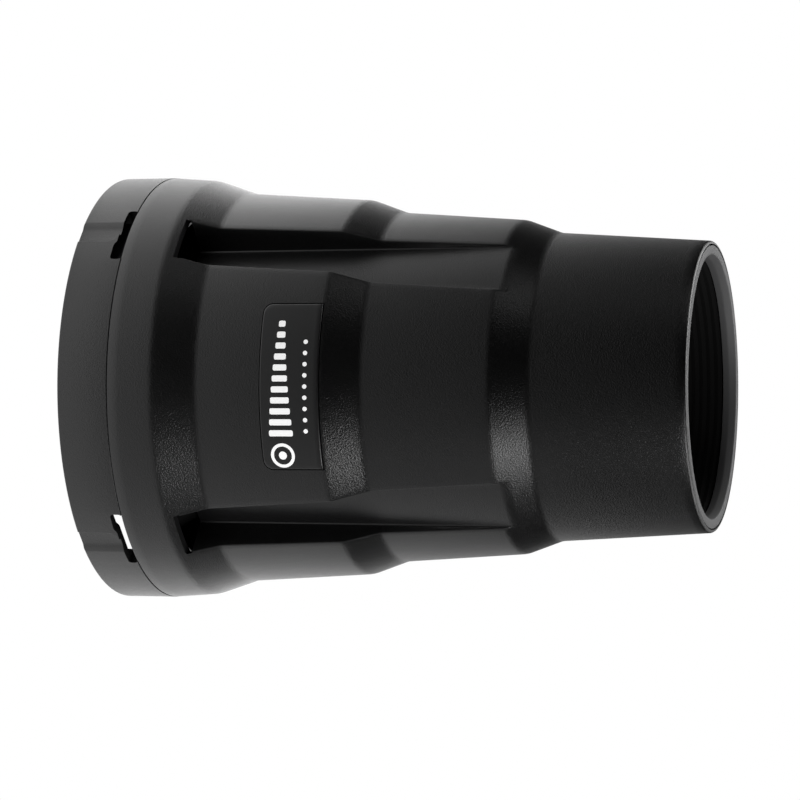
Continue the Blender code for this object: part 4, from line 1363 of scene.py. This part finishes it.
insert_names = ["boss_insert_%d" % number for number in range(1, 5)]
boxes = [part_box(name) for name in insert_names]
places = [((low.x + high.x) / 2, (low.y + high.y) / 2, low.z) for low, high in boxes]
inserts = grown("boss_inserts", insert_tree, {
    "Outer Radius": 2.15 * MM, "Bore Radius": HOLE_RADIUS, "Length": boxes[0][1].z - boxes[0][0].z,
    "Knurl Depth": 0.2 * MM, "Finish": brass}, places, [0.0] * 4, [0.0] * 4)
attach(inserts, "snoot_body")
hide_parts(*insert_names)
print("screws and inserts:", len(collar_screws.data.polygons), len(claw_screws.data.polygons),
      len(inserts.data.polygons))

# %% Screw bosses
BOSS_REAR_Z, BOSS_FRONT_Z, BOSS_BORE_Z = 23.6 * MM, 35.6 * MM, 30.8 * MM
BOSS_BORE, BOSS_RADIUS, BOSS_BEVEL = 2.45 * MM, 3.65 * MM, 0.3 * MM
BOSS_SIDES = 32


def make_bosses():
    """Four posts inside the body that hold the inserts, each a blind bore that ends in the wall."""
    verts, faces = [], []
    profile = [(BOSS_BORE, BOSS_REAR_Z), (BOSS_RADIUS - BOSS_BEVEL, BOSS_REAR_Z),
               (BOSS_RADIUS, BOSS_REAR_Z + BOSS_BEVEL)]
    profile += [(BOSS_RADIUS, BOSS_REAR_Z + share * (BOSS_FRONT_Z - BOSS_REAR_Z))
                for share in (0.2, 0.4, 0.6, 0.8, 1.0)]
    profile += [(0.0, BOSS_FRONT_Z), (0.0, BOSS_BORE_Z), (BOSS_BORE, BOSS_BORE_Z)]
    pole = profile.index((0.0, BOSS_FRONT_Z))
    count = len(profile)
    for station in SCREW_STATIONS:
        turn = math.radians(station)
        centre = Vector((SCREW_CENTRE * math.sin(turn), -SCREW_CENTRE * math.cos(turn), 0.0))
        start = len(verts)
        for step in range(BOSS_SIDES):
            around = math.tau * step / BOSS_SIDES
            verts += [centre + Vector((radius * math.cos(around), radius * math.sin(around), z))
                      for radius, z in profile]
            sides = band(start + step * count, start + (step + 1) % BOSS_SIDES * count, count)
            faces += sides[:pole] + sides[pole + 1:]
    for index, vert in enumerate(verts):
        inside = body_radius(vert.z) - BODY_WALL / 2
        if vert.xy.length > inside:
            flat = vert.xy.normalized() * inside
            verts[index] = Vector((flat.x, flat.y, vert.z))
    return built("screw_bosses", verts, faces, (fine_plastic,))


bosses = make_bosses()
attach(bosses, "snoot_body")
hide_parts("body_shell")
print("bosses:", len(bosses.data.polygons))

# %% Ears of the tube
EAR_HALF, EAR_INNER, EAR_OUTER, EAR_ROUND = 4.5 * MM, 43.4 * MM, 51.0 * MM, 1.5 * MM
EAR_REAR_Z, EAR_FRONT_Z = 22.1 * MM, 23.3 * MM


def make_ears():
    """Four tabs that stand out from the tube's rear rim, each with a screw hole."""
    outline = rounded_outline([(-EAR_HALF, EAR_INNER, 0.0), (EAR_HALF, EAR_INNER, 0.0),
                               (EAR_HALF, EAR_OUTER, EAR_ROUND), (-EAR_HALF, EAR_OUTER, EAR_ROUND)])
    ears = None
    for station in SCREW_STATIONS:
        turn = Matrix.Rotation(math.radians(station), 4, "Z")
        ear = stacked("tube_ears", [[turn @ Vector((x, -radius, z)) for x, radius in outline]
                                    for z in (EAR_REAR_Z, EAR_FRONT_Z)], matt_black_and_painted_shade)
        start = turn @ Vector((0, -SCREW_CENTRE, EAR_REAR_Z - 2 * MM))
        carve(ear, drill("ear_hole", HOLE_RADIUS, start, (0, 0, 1), 6 * MM, 32))
        if ears is None:
            ears = ear
            continue
        shape = bmesh.new()
        shape.from_mesh(ears.data)
        shape.from_mesh(ear.data)
        shape.to_mesh(ears.data)
        shape.free()
        bpy.data.objects.remove(ear, do_unlink=True)
    return ears


ears = make_ears()
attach(ears, "snoot_body")
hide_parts("light_tube")
print("ears:", len(ears.data.polygons))

# %% Finishes of the pieces that keep their shape
KEPT = ("spring_claw_1", "spring_claw_2", "claw_clamp_1", "claw_clamp_2")
for name in KEPT:
    kept = bpy.data.objects[name]
    kept.data.materials.clear()
    kept.data.materials.append(spring_steel)
print("kept pieces with a new finish:", sorted(KEPT))
